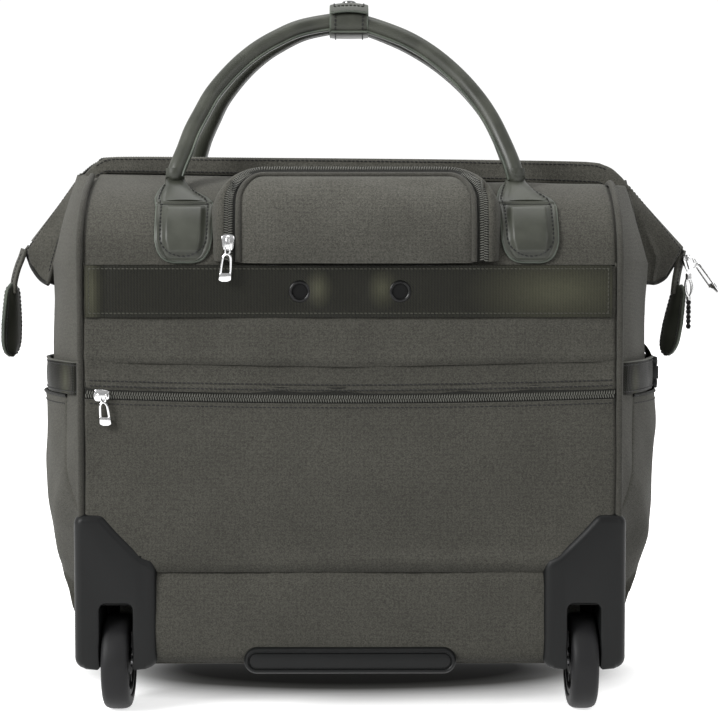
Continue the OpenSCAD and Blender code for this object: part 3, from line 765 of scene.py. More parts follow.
def band_y(x, z):
    waves = 0.0
    for cx, side in ((-EYE_X, 1), (EYE_X, -1)):
        d = np.hypot(x - cx, (z - EYE_Z) * 1.2)
        waves = waves + 1.1 * bell(d, 13.0)
        waves = waves - 1.9 * np.exp(-(((x - cx - side * 15) / 8.5) ** 2 + ((z - EYE_Z) / 13.0) ** 2))
    end = -0.9 * bell(x + 184, 4.0) + 0.5 * bell(x + 176, 4.0)
    lip = 0.5 * (bell(z - WEB_Z0, 1.6) + bell(z - WEB_Z1, 1.6))
    seam = 0.35 * (bell(z - 292.3, 1.1) + bell(z - 324.2, 1.1))
    return -HD - 3.4 - ripple(x, z * 0.5, 70, 51) * 0.45 + waves + end + lip + seam


def in_eyelet(c):
    return min(hypot(c[0] - e, c[2] - EYE_Z) for e in (-EYE_X, EYE_X)) > 6.9


band.wall(X, band_y(X, Zs), Zs, 1.5, BACK, in_eyelet, mat=WEB)
for row in ([(x, 292.3) for x in span(-188, 186, 150)], [(x, 324.2) for x in span(-188, 186, 150)],
        [(-187.6, z) for z in span(292, 324, 16)], [(185.6, z) for z in span(292, 324, 16)]):
    band.sew([(x, band_y(x, z), z) for x, z in row], BACK, 3.0, 2.3, 0.30, 0.18, mat=THREAD_LIGHT)
band.make()

eyes = Piece("webbing_eyelet_rings", "webbing_eyelets", slot="eyelet_metal")
EYE_RING = [(0.0, 5.4), (0.0, 7.7), (0.5, 8.1), (1.1, 7.9), (1.6, 7.2), (1.75, 6.5), (1.4, 5.8),
    (0.6, 5.45), (-0.8, 5.4), (0.0, 5.4)]
for x in (-EYE_X, EYE_X):
    eyes.add(lathe(EYE_RING, (x, float(band_y(x, EYE_Z)) + 0.4, EYE_Z), BACK, 40), EYELET)
    # a dark disc behind the hole: painted shade where the hole looks into the case
    eyes.add(lathe([(0, 0.01), (0, 6.4), (0.5, 6.4), (0.5, 0.01)], (x, -HD - 1.7, EYE_Z), BACK, 32),
        PLASTIC_SHADED)
eyes.make()

# ---- soft sides


def side_point(s, y, z):
    x = PX + side_bulge(y, z) + ripple(y + s * 40, z, 70, 61) * 1.3 * swell(y / HD)
    return s * (x - 2.2 * bell(past(HD - 1.2 - np.abs(y)), 1.9))


for s, name in ((-1, "left"), (1, "right")):
    side = Piece(name + "_soft_side", name + "_gusset")
    edge_y = HD - np.array([0.0, 0.8, 1.6, 2.4, 3.3, 4.4, 6.0])
    Yg, Zg = np.meshgrid(np.sort(np.concatenate([span(-HD + 8, HD - 8, 62), edge_y, -edge_y])),
        span(37, 328.5, 96))
    Xg = side_point(s, Yg, Zg) - s * 9.0 * clip01(1 - (Zg - 37) / 8.0) ** 2
    side.wall(Xg, Yg, Zg, 1.3, (s, 0, 0), lambda c: not (c[1] < -36 and c[2] < 66))
    side.make()

under = Piece("under_panel", "bottom_panel")
Xg, Yg = np.meshgrid(span(-1, 1, 90), span(-HD + 3, HD - 3, 60))
half = PX - 6 + 11 * np.cos(np.pi / 2 * Yg / HD)
Zg = 37.2 - 1.2 * np.cos(np.pi / 2 * Yg / HD) * np.cos(np.pi / 2 * Xg) + ripple(Xg * 190, Yg, 60, 63) * 0.3
under.wall(Xg * half, Yg, Zg, 1.2, (0, 0, -1), lambda c: not (abs(c[0]) > 152 and c[1] < -30))
under.make()

# ---- roof


def roof_xyz(u, t, front=False, lift=0.0):
    """u runs 0..1..2..3: left centre line, left corner, right corner, right centre line."""
    u, t = np.broadcast_arrays(np.asarray(u, float), np.asarray(t, float))
    z, hd, wx = roof_row(t)
    a = np.pi / 2 * clip01(u)
    b = np.pi / 2 * clip01(3 - u)
    corner = PX - 0.6 * smooth(0.0, 1.0, t)
    x = np.where(u < 1, -(corner + (wx - corner) * np.cos(a) ** 0.9),
        np.where(u > 2, corner + (wx - corner) * np.cos(b) ** 0.9, (u - 1.5) * 2 * corner))
    y = np.where(u < 1, hd * a / (np.pi / 2), np.where(u > 2, hd * b / (np.pi / 2), hd))
    across = clip01(np.sin(np.pi * clip01(u - 1))) ** 0.5
    arch_t = np.sin(np.pi * clip01(t))
    puff = across * (2.6 * arch_t ** 0.8 + ripple(x, z * 1.3, 70, 71 + front) * 1.3 * arch_t ** 0.5)
    sway = np.sign(x) * ripple((y if front else -y) + np.sign(x) * 40, z, 70, 61) * 1.3 * swell(y / hd) * (1
        - smooth(0.1, 0.7, t))
    x = x + np.where((u < 1) | (u > 2), sway, 0)
    slope = np.interp(t, [0, 0.4, 1], [0.1, 0.7, 1.0])
    beside = np.minimum(np.abs(u - 1), np.abs(u - 2)) * np.where((u < 1) | (u > 2), hd, 2 * corner)
    puff = puff - (lift == 0) * 2.4 * bell(past(beside - 1.2), 1.9)
    y = y + (puff + lift) * (1 - slope * 0.6)
    z = z + (puff + lift) * slope
    return np.stack([x, y if front else -y, z + (header_low(x) - 394) * smooth(0.7, 1.0, t)], axis=-1)


NEAR = np.array([0.8, 1.6, 2.4, 3.3, 4.4])
ROOF_U = np.unique(np.concatenate([span(0, 1, 14), span(1, 2, 120), span(2, 3, 14), 1 - NEAR / 60, 1 + NEAR
    / 388, 2 - NEAR / 388, 2 + NEAR / 60]))
U, T = np.meshgrid(ROOF_U, span(0, 1, 46))


def roof_keep(c):
    """The window behind the trolley flap."""
    return not (abs(c[0] - FLAP_X) < 88 and 335 < c[2] and c[1] < -58)


BACK_FOLD = ("root", "mouth_back", (0, 0, 0.378), (0, 0, 0.393))
MOUTH_FOOT, MOUTH_TOP = (0, 0, 0.336), (0, 0, 0.374)  # heights passed with the wings and the zip; make() only bakes their transform
FRONT_FOLD = ("root", "mouth_front", (0, 0, 0.330), (0, 0, 0.392))
roof = Piece("back_roof_cloth", "back_roof")
roof.add(slab(roof_xyz(U, T), 1.3, (0, -0.5, 1), roof_keep), CLOTH)
roof.make(blend=BACK_FOLD)
roof = Piece("front_roof_cloth", "front_roof")
roof.add(slab(roof_xyz(U, T, True), 1.3, (0, 0.5, 1)), CLOTH)
roof.make(blend=FRONT_FOLD)

# ---- front panel and its pocket

fp = Piece("front_panel_cloth", "front_panel")
X, Z = back_grid(-PX, PX, 37, 328)
Y = HD + 0.4 - 3.0 * clip01(1 - (Z - 37) / 7.0) ** 2 + ripple(X, Z, 90, 81) * 0.9
fp.wall(X, Y, Z, 1.3, FRONT)
fp.make()

# ---- piping


def corner_path(sx, front):
    """Along one upright corner from the foot to the header."""
    sy = 1 if front else -1
    wall = [(sx * (PX + 0.6), sy * (HD + 0.8), z) for z in span(42 if front else 140, 324, 40)]
    top = roof_xyz(np.full(40, 1.0 if sx < 0 else 2.0), span(0.02, 0.90, 40), front, 1e-6)
    return np.vstack([wall, top + (sx * 0.8, sy * 0.9, 0.9)])


for front in (False, True):
    rope = Piece("front_piping", slot="piping") if front else Piece("back_piping", "body_piping",
        slot="piping")
    for s in (-1, 1):
        rope.add(tube(spline(corner_path(s, front), step=4.0), 2.5, 10), PIPING)
    if front:
        rope.add(tube([(x, HD - 0.6, 41.5) for x in span(-PX, PX, 60)], 2.3, 10), PIPING)
    rope.make(blend=FRONT_FOLD if front else BACK_FOLD)

# ---- header bands, wings, main zip


def header_path(sy):
    """Centre line of the header band, from the left shoulder over the top to the right one."""
    pts = [(-206, 386.5), (-198.5, 393.2), (-189, 400.0), (-176, 402.2), (-100, 401.4), (0, 400.2),
        (100, 398.3), (178, 396.2), (192, 394.3), (203, 389.0), (210.5, 382.5)]
    return np.array([(x, sy * 6.4, z) for x, z in spline(pts, n=150)])


LEAN = 0.20


def header_half(x):
    """Half height of the band: it is wider towards the right."""
    return np.interp(x, [-207, -192, -178, 0, 180, 196, 212], [3.0, 5.6, 6.6, 7.6, 9.2, 8.6, 4.0])


for sy, name in ((-1, "back"), (1, "front")):
    head = Piece(name + "_header_band", "header_" + name, body="mouth_" + name)
    path = header_path(sy)
    hh = header_half(path[:, 0])
    prof = np.array([(5.6 * cos(a), sin(a)) for a in span(0, TAU, 28, endpoint=False)])
    prof = np.sign(prof) * np.abs(prof / (5.6, 1)) ** 0.42 * (5.6, 1)
    shape = sweep(path, prof, UP, scale=[(1.0, q) for q in hh])
    v = shape[0]
    near = np.interp(v[:, 0], path[:, 0], path[:, 2])
    v[:, 1] += sy * (ripple(v[:, 0], v[:, 2], 55, 91) * 0.5 - LEAN * (v[:, 2] - near)
        * (np.abs(v[:, 1]) > 5.0))
    head.add(shape, CLOTH)
    for offset in (0.70, -0.66):
        line = path + np.stack([np.zeros(len(path)), np.full(len(path), sy * 5.35), hh * offset], axis=1)
        line[:, 1] += sy * (ripple(line[:, 0], line[:, 2], 55, 91) * 0.5 - LEAN * hh * offset + 0.2)
        head.sew(line[6:-6], (0, sy, 0), 3.2, 2.5, 0.36, 0.16)
    head.make()

WING_L = np.array([(-205, 396), (-249.5, 339.0), (-245.5, 328), (-229.5, 312)], float)
WING_R = np.array([(210, 391), (257.0, 339.5), (243.5, 318), (224.5, 314)], float)

for sx, corners in ((-1, WING_L), (1, WING_R)):
    for sy, name in ((-1, "back"), (1, "front")):
        wing = Piece(("left" if sx < 0 else "right") + "_wing_" + name, "wings" if sx + sy == -2 else "")
        a, b, c, d = corners
        mu, mv = np.meshgrid(span(0, 1, 22), span(0, 1, 34))
        inner = (1 - mv)[..., None] * a + mv[..., None] * d
        hem = clip01((mv - 0.80) / 0.20)[..., None]
        outer_edge = (a + (b - a) * clip01(mv / 0.80)[..., None]) * (1 - hem) + c * hem
        low = clip01((mv - 0.55) / 0.45)[..., None] ** 2
        flat = inner + (outer_edge - inner) * mu[..., None]
        flat = flat - np.array([0, 3.2]) * low * np.sin(np.pi * mu)[..., None]
        belly = np.sin(np.pi * clip01(mu)) ** 0.7 * np.sin(np.pi * clip01(mv * 1.05)) ** 0.6
        seat = 11.0 * (1 - mu) ** 1.6 * smooth(0, 0.3, mv)
        yy = (1.4 + 4.2 * np.sin(np.pi / 2 * clip01((1 - mu) / 0.16)) + belly * (2.2 if sx < 0 else 4.0)
            + seat + ripple(flat[..., 0], flat[..., 1], 30, 101 + sx) * 0.7 * belly)
        if sx > 0:
            yy = yy + 2.2 * bell(mu - 0.26 - 0.1 * mv, 0.07) * smooth(0.3, 0.9, mv)
        P = np.dstack([flat[..., 0], sy * yy, flat[..., 1]])
        wing.add(slab(P, 1.1, (0, sy, 0)), CLOTH)
        # rows of stitches beside the zip and beside the inner seam, and the bound hem
        for col in (19, 2):
            wing.sew(P[2:30, col], (0, sy, 0), 3.0, 2.3, 0.32, 0.14)
        hem_line = np.vstack([P[27:33, -1], (P[-1] + (0, sy * 0.2, 0))[::-1]])
        wing.add(tube(spline(hem_line, step=3.0), 1.5, 8), TAPE)
        wing.add(tube(spline(P[:, 0] + (0, sy * 0.6, 0), step=4.0), 1.5, 8), PIPING)
        wing.make(blend=("root", "mouth_" + name, MOUTH_FOOT, MOUTH_TOP))

STAY = [(-243.0, 341.5), (-234.5, 352), (-217, 374), (-201, 392), (-191, 398.5), (-178, 401.5), (0, 400.2),
    (178, 396.4), (194, 392.0), (205, 384.5), (224, 364), (241, 348), (246.5, 342.5)]
for sy, name in ((-1, "back"), (1, "front")):
    wire = Piece(name + "_mouth_wire", "frame_stay_" + name + (" stay_hinge_pins" if sy < 0 else ""),
        body="mouth_" + name, slot="steel")
    path = np.array([(x, sy * 3.2, z) for x, z in spline(STAY, step=4.0)])
    wire.add(tube(path, 1.7, 10), STEEL)
    for end in (0, -1):
        wire.add(tube([path[end] + (2.6 * cos(a), 0, 2.6 * sin(a))
            for a in span(0, TAU, 16, endpoint=False)], 1.1, 8, closed=True), STEEL)
    wire.make()

ZIP_LINE = [(-251.0, 337.0), (-243.8, 345.4), (-232.0, 360.3), (-221.5, 374.8), (-210, 391), (-203, 398.8),
    (-193.5, 405.4), (-180, 409.0), (-90, 408.6), (0, 407.4), (90, 406.3), (176, 404.8), (192, 402.6),
    (203, 396.5), (211, 388), (229, 368.5), (248, 348), (257.5, 337)]
zip_path = np.array([(x, 0.0, z) for x, z in spline(ZIP_LINE, step=2.0)])
zt = unit(np.gradient(zip_path, axis=0))
zip_up = np.cross(np.array([0, -1.0, 0]), zt)
main_zip = Piece("main_zip", "main_zip_tape", slot="zip_coil")
main_zip.add(sweep(zip_path - zip_up * 1.4, rrect(9.0, 0.8, 0.3, 1), zip_up), TAPE)
main_zip.add(teeth(zip_path - zip_up * 0.3, zip_up, 1.9, 2.9, 0.72), COIL)
main_zip.make(blend=("root", "mouth_back", MOUTH_FOOT, MOUTH_TOP))

# ---- trolley flap

FLAP_PROFILE = spline([(-98.6, 324.0), (-99.8, 333), (-100.6, 343), (-100.0, 354), (-97.6, 365),
    (-92.8, 375.5), (-86, 384.0), (-77, 390.6), (-67, 394.3), (-57, 396.6), (-47, 398.0)], n=220)
FLAP_S = arc_length(FLAP_PROFILE)
FLAP_Z1, FLAP_Z0 = 391.8, 329.5


def s_of(z):
    return np.interp(z, FLAP_PROFILE[:, 1], FLAP_S)


fd = unit(np.gradient(FLAP_PROFILE, axis=0))
FLAP_N = np.stack([-fd[:, 1], fd[:, 0]], axis=1)


def on_profile(table, s):
    return [np.interp(s, FLAP_S, table[:, k]) for k in (0, 1)]


def flap_point(x, s, out=0.0):
    """A point on the flap's face: x across, s up along its profile, out away from it."""
    (y, z), (ny, nz) = on_profile(FLAP_PROFILE, s), on_profile(FLAP_N, s)
    return np.stack(np.broadcast_arrays(np.asarray(x, float), y + out * ny, z + out * nz), axis=-1)


def flap_normal(s):
    return np.stack([np.zeros(len(s)), *on_profile(FLAP_N, s)], axis=1)


def arch(grow):
    """(x, s) along the flap's inverted U, drawn on its front view and grown outwards by grow."""
    w, r, up = FLAP_W + grow, FLAP_R + grow, 0.42 * grow
    rz, top = FLAP_R + 3 + up, FLAP_Z1 + up
    turn = span(0, pi / 2, 16)[1:-1]
    pts = [(-w, z) for z in span(FLAP_Z0, top - rz, 24)]
    pts += [(-w + r - r * cos(a), top - rz + rz * sin(a)) for a in turn]
    pts += [(x, top) for x in span(-w + r, w - r, 44)]
    pts += [(w - r + r * sin(a), top - rz + rz * cos(a)) for a in turn]
    pts += [(w, z) for z in span(top - rz, FLAP_Z0, 24)]
    pts = np.array(pts)
    return np.stack([pts[:, 0], s_of(pts[:, 1])], axis=1)


def arch_path(grow, out, step=2.0):
    a = polyline(arch(grow), step)
    return flap_point(a[:, 0] + FLAP_X, a[:, 1], out), flap_normal(a[:, 1])


flap = Piece("trolley_flap_cloth", "trolley_flap", body="flap")
Zr = np.concatenate([span(FLAP_Z0 - 1, FLAP_Z1 - FLAP_R, 26), span(FLAP_Z1 - FLAP_R, FLAP_Z1, 24)[1:]])
S = s_of(Zr)
up_in = clip01((Zr - (FLAP_Z1 - FLAP_R - 3)) / (FLAP_R + 3))
W = FLAP_W - FLAP_R + FLAP_R * np.sqrt(1 - up_in ** 2)
Us, Ss = np.meshgrid(span(-1, 1, 62), S)
Xf = Us * W[:, None]
edge = np.minimum(np.minimum(W[:, None] - np.abs(Xf), (FLAP_Z1 - Zr)[:, None] * 1.3), 40.0)
puff = 1.4 * smooth(0, 6, edge) + 1.6 * smooth(4, 30, edge) + ripple(Xf, Ss, 46, 111) * 0.9 * smooth(0, 14,
    edge)
P = flap_point(Xf + FLAP_X, Ss, puff)
# the flap in the lighter copy of the cloth: painted light
flap.add(slab(P, 1.5, (0, -1, 0.3)), CLOTH_LIT)
path, nor = arch_path(0.6, 0.4)
flap.add(tube(path, 2.1, 10), PIPING)
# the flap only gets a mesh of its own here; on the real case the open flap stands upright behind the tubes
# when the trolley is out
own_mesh(flap.make())

ring = Piece("flap_zip_and_frame", "flap_zip_tape", slot="zip_coil")
COIL_GROW = 8.4


def stand_up(path, nor, full=0.4):
    """Along the top the zip rides up over the roof's edge and turns to face the back."""
    w = smooth(376, 391, path[:, 2])[:, None]
    return path + UP * w * full, unit(nor + (0, -1.3, 0) * w)


for grow, out, wide in ((COIL_GROW - 3.6, -0.6, 7.0), (COIL_GROW - 0.8, -0.3, 8.0)):
    path, nor = stand_up(*arch_path(grow, out))
    ring.add(sweep(path, rrect(wide, 0.8, 0.3, 1), nor), TAPE)
path, nor = stand_up(*arch_path(COIL_GROW - 0.8, 0.9, 1.0))
ring.add(teeth(path, nor, 1.8, 3.1, 0.66), COIL)

# the cloth wall outside the zip, from the tape down to the roof
rows = []
for k in span(0, 1, 9):
    q = polyline(arch(COIL_GROW + 2.6 + 8.5 * k), 1.0)
    q = q[span(0, len(q) - 1, 150).astype(int)]
    out = flap_normal(q[:, 1])
    row = flap_point(q[:, 0] + FLAP_X, q[:, 1], 0) + out * (-12.5 * k ** 2.4 + 0.9 * sin(pi * k))
    rows.append(stand_up(row, out, 0.4 * (1 - k))[0])
P = np.array(rows)
ring.add(slab(P, 1.2, (0, -1, 0.5)), CLOTH)
ring.sew(P[1], unit(np.array([0, -1, 0.4])), 3.0, 2.3, 0.3, 0.2)
ring.make()

recess = Piece("trolley_recess_lining", "trolley_pocket_walls", slot="lining_cloth")
wall = polyline([(FLAP_X - 90, -92.5), (FLAP_X - 90, -64), (FLAP_X + 90, -64), (FLAP_X + 90, -92.5)], 4.0)
Pz = np.array([[(x, y, z) for x, y in wall] for z in span(341, 388, 14)])
Pz[..., 0] += ripple(Pz[..., 1], Pz[..., 2], 30, 121) * 0.5
Pz[..., 1] += ripple(Pz[..., 0], Pz[..., 2], 40, 122) * 0.5
recess.add(slab(Pz, 1.0, BACK), CLOTH_IN)
recess.make()

# ---- sliders and pulls


def scaled(points, size):
    return [tuple(c * size for c in p) for p in points]


def slider_shapes(at, wide, along, out, size=1.0):
    """A closed-end coil slider: two plates, a post, rails and the bridge over the top."""
    bell_shape = scaled([(-2.6, -5.6), (2.6, -5.6), (3.3, -4.6), (3.6, -1), (4.7, 2.2), (4.5, 4.6),
        (3.0, 5.6), (1.0, 6.0), (-1.0, 6.0), (-3.0, 5.6), (-4.5, 4.6), (-4.7, 2.2), (-3.6, -1),
        (-3.3, -4.6)], size)
    post = scaled([(-1.2, 2.6), (1.2, 2.6), (0.8, 5.4), (-0.8, 5.4)], size)
    parts = [prism(bell_shape, 0.9 * size, 2.4 * size, 0.45),
        prism(bell_shape, -2.2 * size, -0.9 * size, 0.4), prism(post, -1.2 * size, 1.2 * size, 0)]
    for s in (-1, 1):
        rail = scaled([(s * 3.1, -4.4), (s * 3.7, -4.4), (s * 4.7, 2.2), (s * 4.0, 2.2)], size)
        parts.append(prism(rail, -0.2 * size, 1.2 * size, 0.15, 1))
    bridge = spline([(0, -4.6, 2.2), (0, -4.2, 4.4), (0, -1.6, 5.3), (0, 2.4, 5.0), (0, 4.6, 3.6),
        (0, 5.0, 2.0)], n=18) * size
    parts.append(sweep(bridge, rrect(2.6 * size, 1.1 * size, 0.4 * size, 2),
        np.array([(0, -sin(a), cos(a)) for a in span(1.3, -1.3, 18)])))
    return [put(p, at, wide, along, out) for p in parts]


def pull_shapes(at, wide, down, out, length, frame_w):
    """A link through the bridge, an open frame and a thick end block, hanging along down."""
    parts = [tube([(1.7 * cos(a), 2.8 * sin(a) + 1.6, 0) for a in span(0, TAU, 20, endpoint=False)], 0.62,
        8, closed=True)]
    w, top, low = frame_w / 2 - 0.9, 4.4, length
    loop = spline([(-w * 0.45, top, 0), (-w, top + 3.0, 0), (-w, low - 4.0, 0), (w, low - 4.0, 0),
        (w, top + 3.0, 0), (w * 0.45, top, 0)], n=48)
    parts.append(tube(np.vstack([loop, [(0, top - 0.5, 0)]]), 0.95, 8, closed=True))
    block = [(-w - 1.3, low - 6.4), (w + 1.3, low - 6.4), (w + 1.6, low - 1.2), (w * 0.7, low),
        (-w * 0.7, low), (-w - 1.6, low - 1.2)]
    parts.append(prism(block, -1.5, 1.5, 0.6))
    return [put(p, at, wide, down, out) for p in parts]


flap_at = flap_point(FLAP_X - FLAP_W - COIL_GROW + 0.8, float(s_of(343.0)), 0.6)
lean = unit(np.array([0.34, 0, -1.0]))
POCKET_SLIDER_Z = 233.4
for name, slider, pull in (("pocket", ((-178.5, -HD - 2.9, POCKET_SLIDER_Z), UP, (-1, 0, 0), BACK, 0.94),
        ((-177.5, -HD - 6.9, POCKET_SLIDER_Z - 1.0), RIGHT, (0.10, 0.05, -1), BACK, 21, 7)),
        ("flap", (flap_at, RIGHT, (0, 0.05, 1), BACK, 1.0),
        (flap_at + (0, -4.6, -4.2), RIGHT, (-0.10, 0.06, -1), BACK, 24, 7.6)),
        ("main", ((259.6, 0, 327.5), FRONT, -lean, (1, 0, 0.34), 1.1),
        ((264.5, 0, 330.5), (0.35, -0.9, 0.15), (0.58, -0.05, -0.82), UP, 30, 7.6))):
    for kind, shapes in (("slider", slider_shapes(*slider)), ("pull", pull_shapes(*pull))):
        node = name + "_zip_" + kind
        Piece(name + "_" + kind + "_body", node, name + "_" + kind, "zip_metal").add(shapes, CHROME).make()

# the clasp that hangs from the zip end, with its short beaded end
p = Piece("zip_end_clasp", "zip_hook", body="hook", slot="zip_metal")
HOOK_Y = -7.9
body_path = spline([(x, HOOK_Y, z) for x, z in ((258.6, 317), (257.2, 312), (257.6, 306), (259.6, 302),
    (261.6, 305), (261.8, 311), (260.2, 316))], n=40)
p.add(tube(body_path, 1.15, 10), CHROME)
for h, lip, r, x, z, n in ((2.4, 1.8, 1.8, 259.4, 317.6, 20), (1.6, 1.1, 1.4, 259.6, 301.0, 18)):
    p.add(lathe([(-h, 0.01), (-h, r), (-lip, r + 0.5), (lip, r + 0.5), (h, r), (h, 0.01)], (x, HOOK_Y, z),
        UP, n), CHROME)
for k in range(9):
    for a in (k * 1.1, k * 1.1 + pi):
        c = np.array([[259.6 + 0.8 * cos(a), HOOK_Y + 0.8 * sin(a), 298.0 - 2.35 * k]])
        lay = np.array([[0.35 * cos(a + 1.5), 0.35 * sin(a + 1.5), 1.0]])
        p.add(blobs(c, lay, np.array([BACK]), np.array([RIGHT]), 3.6, 1.25, 1.25), PLASTIC)
p.make()

# ---- zip-end tabs


def tab(side, sx, hang, top, bottom, lean_out, width, turn, strap, out, off):
    """Two leather layers stitched round the zip end, seen nearly on edge, on a short cloth strap."""
    piece = Piece(side + "_zip_tab", side + "_tab", "tab_" + side, "trim_leather")
    c, s = cos(radians(turn)), sin(radians(turn))
    wide_axis, face = np.array([sx * -s, c, 0.0]), np.array([sx * c, s, 0.0])
    v, us = span(0, 1, 30), span(-1, 1, 15)
    head = np.sqrt(np.clip(1 - clip01((0.16 - v) / 0.16) ** 2, 0.06, 1))
    half_w = width / 2 * np.minimum(1.0, 0.62 + 0.7 * v) * head * np.sqrt(np.clip(1
        - clip01((v - 0.74) / 0.26) ** 2.0, 0.03, 1))
    mid = np.array([(hang[0] + lean_out * q, hang[1], top - (top - bottom) * q) for q in v])
    bow = 2.5 * (1 - 0.75 * us ** 2) * (0.75 + 0.25 * np.sin(pi * v))[:, None]
    for layer in (-1, 1):
        P = mid[:, None] + (us * half_w[:, None])[..., None] * wide_axis + (layer * (0.9 + bow))[...,
            None] * face
        piece.add(slab(P, 1.7, face * layer), LEATHER)
        rim = np.vstack([P[1:-1, 1], P[-2, 2:-2], P[1:-1, -2][::-1]])
        piece.sew(rim, face * layer, 3.2, 2.4, 0.38, 0.15)
        edge_line = np.vstack([P[:, 0], P[-1, 1:-1], P[:, -1][::-1]]) - face * layer * 0.9
        piece.add(tube(spline(edge_line, step=2.5), 0.75, 6), LEATHER_RAW)
    strap = spline([(x, hang[1], z) for x, z in strap], n=24)
    piece.add(sweep(strap, rrect(12, 2.6, 1.0, 3), out), CLOTH)
    piece.sew(strap[2:-3] + off, (*out[:2], 0), 3.0, 2.3, 0.33, 0.1).make()


tab("left", -1, (-259.5, 0), 312, 256.5, -1.6, 25, 22, ((-250.2, 338.5), (-252.4, 332), (-255.6, 324),
    (-258.2, 314), (-259.0, 305)), (-1.0, -0.5, 0.1), (-1.35, -0.6, 0))
tab("right", 1, (254.5, 2), 311, 257.0, -9.5, 21, 30, ((256.0, 338), (254.6, 330), (252.6, 321),
    (251.2, 312), (250.4, 304)), (1.0, -0.6, 0.1), (1.2, -0.8, 0))

# ---- side pockets, straps, buckle


def pouch_x(s, y, z):
    """The pocket's outer face: a belly over the soft side, gathered at the foot."""
    h = clip01((z - 70) / (231 - 70))
    across = swell(y / 72) ** 0.55
    belly = 0.4 + 7.4 * np.sin(np.pi * 0.62 * h ** 1.25) * across
    return s * (np.abs(side_point(s, y, z)) + belly * (0.15 + 0.85 * across)
        + ripple(y, z + 17 * s, 34, 131) * 0.7 * across)


pouches = Piece("side_pocket_cloth", "side_pockets")
for s in (-1, 1):
    Yg, Zg = np.meshgrid(span(-72, 72, 52), span(70, 231, 58))
    Xg = pouch_x(s, Yg, Zg)
    Xg = Xg - s * 3.0 * (clip01(1 - (72 - np.abs(Yg)) / 4.0) ** 2 + clip01(1 - (Zg - 70) / 4.0) ** 2)
    pouches.wall(Xg, Yg, Zg, 1.3, (s, 0, 0))
    hem = [(float(pouch_x(s, y, 231.0)), y, 231.0) for y in span(-70, 70, 50)]
    pouches.add(tube(hem, 1.3, 8), TAPE)
    line = [(float(pouch_x(s, y, 225.0)), y, 225.0) for y in span(-68, 68, 50)]
    pouches.sew(line, (s, 0, 0), 3.2, 2.4, 0.33, 0.15)
pouches.make()

straps = Piece("side_strap_webbing", "side_straps", slot="webbing")
for s in (-1, 1):
    Ys, Zs = np.meshgrid(span(-92, 92, 80), span(233, 256.5, 12))
    stand = 3.4 * np.cos(np.pi / 2 * Ys / 92) ** 0.6 + 1.0 + 0.9 * np.sin((Zs - 233) / 23 * pi)
    P = np.dstack([s * (np.abs(side_point(s, Ys, 244.0)) + 0.8 + stand), Ys, Zs])
    straps.add(slab(P, 1.9, (s, 0, 0)), STRAP)
    for k in (1, 10):
        straps.sew(P[k], (s, 0, 0), 3.0, 2.3, 0.3, 0.12)
    straps.add(sweep(P[-1] + (0, 0, 0.2), rrect(2.2, 1.1, 0.4, 2), UP), THREAD_LIGHT)
straps.make()

buckle = Piece("side_release_buckle", "side_buckle", slot="black_plastic")
BUCKLE_X, BUCKLE_Z = 230.6, 244.5
outline = [(-13, -12), (13, -12), (14, -9), (12, -6), (12, 6), (14, 9), (13, 12), (-13, 12), (-14, 9),
    (-12, 6), (-12, -6), (-14, -9)]
groove = [(-9.5, -2.2), (9.5, -2.2), (9.5, 2.2), (-9.5, 2.2)]
prong = [(-1.8, -5), (1.8, -5), (1.8, 5), (-1.8, 5)]
for plate, high, edge, seg, dx, dy, dz in ((outline, 4.6, 0.9, 3, 0, 0, 0),
        (groove, 1.2, 0.5, 2, 4.2, 0, -7.6), (groove, 1.2, 0.5, 2, 4.2, 0, 7.6),
        (prong, 5.4, 0.7, 2, 0, -12.4, 0), (prong, 5.4, 0.7, 2, 0, 12.4, 0)):
    buckle.add(put(prism(plate, 0, high, edge, seg), (BUCKLE_X + dx, dy, BUCKLE_Z + dz), FRONT, UP, RIGHT),
        PLASTIC)
tail = spline([(222, -3, 268), (226.5, -3, 264), (230.0, -3, 258), (231.6, -3, 252)], n=16)
buckle.add(sweep(tail, rrect(20, 1.6, 0.6, 2), (1, 0, 0.6)), STRAP)
buckle.make()

# ---- handles

BACK_LEFT = [(-128.6, 393.5), (-125.8, 402), (-122.0, 412), (-117.2, 426), (-110.4, 440), (-101.7, 456),
    (-86.4, 474.5), (-70.5, 488.5), (-54, 498.5), (-37, 506), (-14, 510.6)]
BACK_RIGHT = [(8, 510.0), (26.4, 504.0), (45.2, 495.9), (63.2, 484.2), (80.0, 469.2), (94.2, 452.6),
    (104.8, 436.0), (112.8, 418.7), (118.6, 404), (120.8, 396), (122.2, 391)]
# the front handle hangs a little to the right, so that it hides behind the back one there
FRONT_LEFT = [(x + 2.0, z) for x, z in BACK_LEFT]
FRONT_RIGHT = [(8, 510.6), (26.6, 504.4), (45.8, 496.2), (66.6, 484.2), (85.6, 469.6), (101.4, 453.6),
    (113.4, 437.0), (121.8, 419.9), (127.6, 405.2), (129.8, 397.2), (131.2, 392.2)]


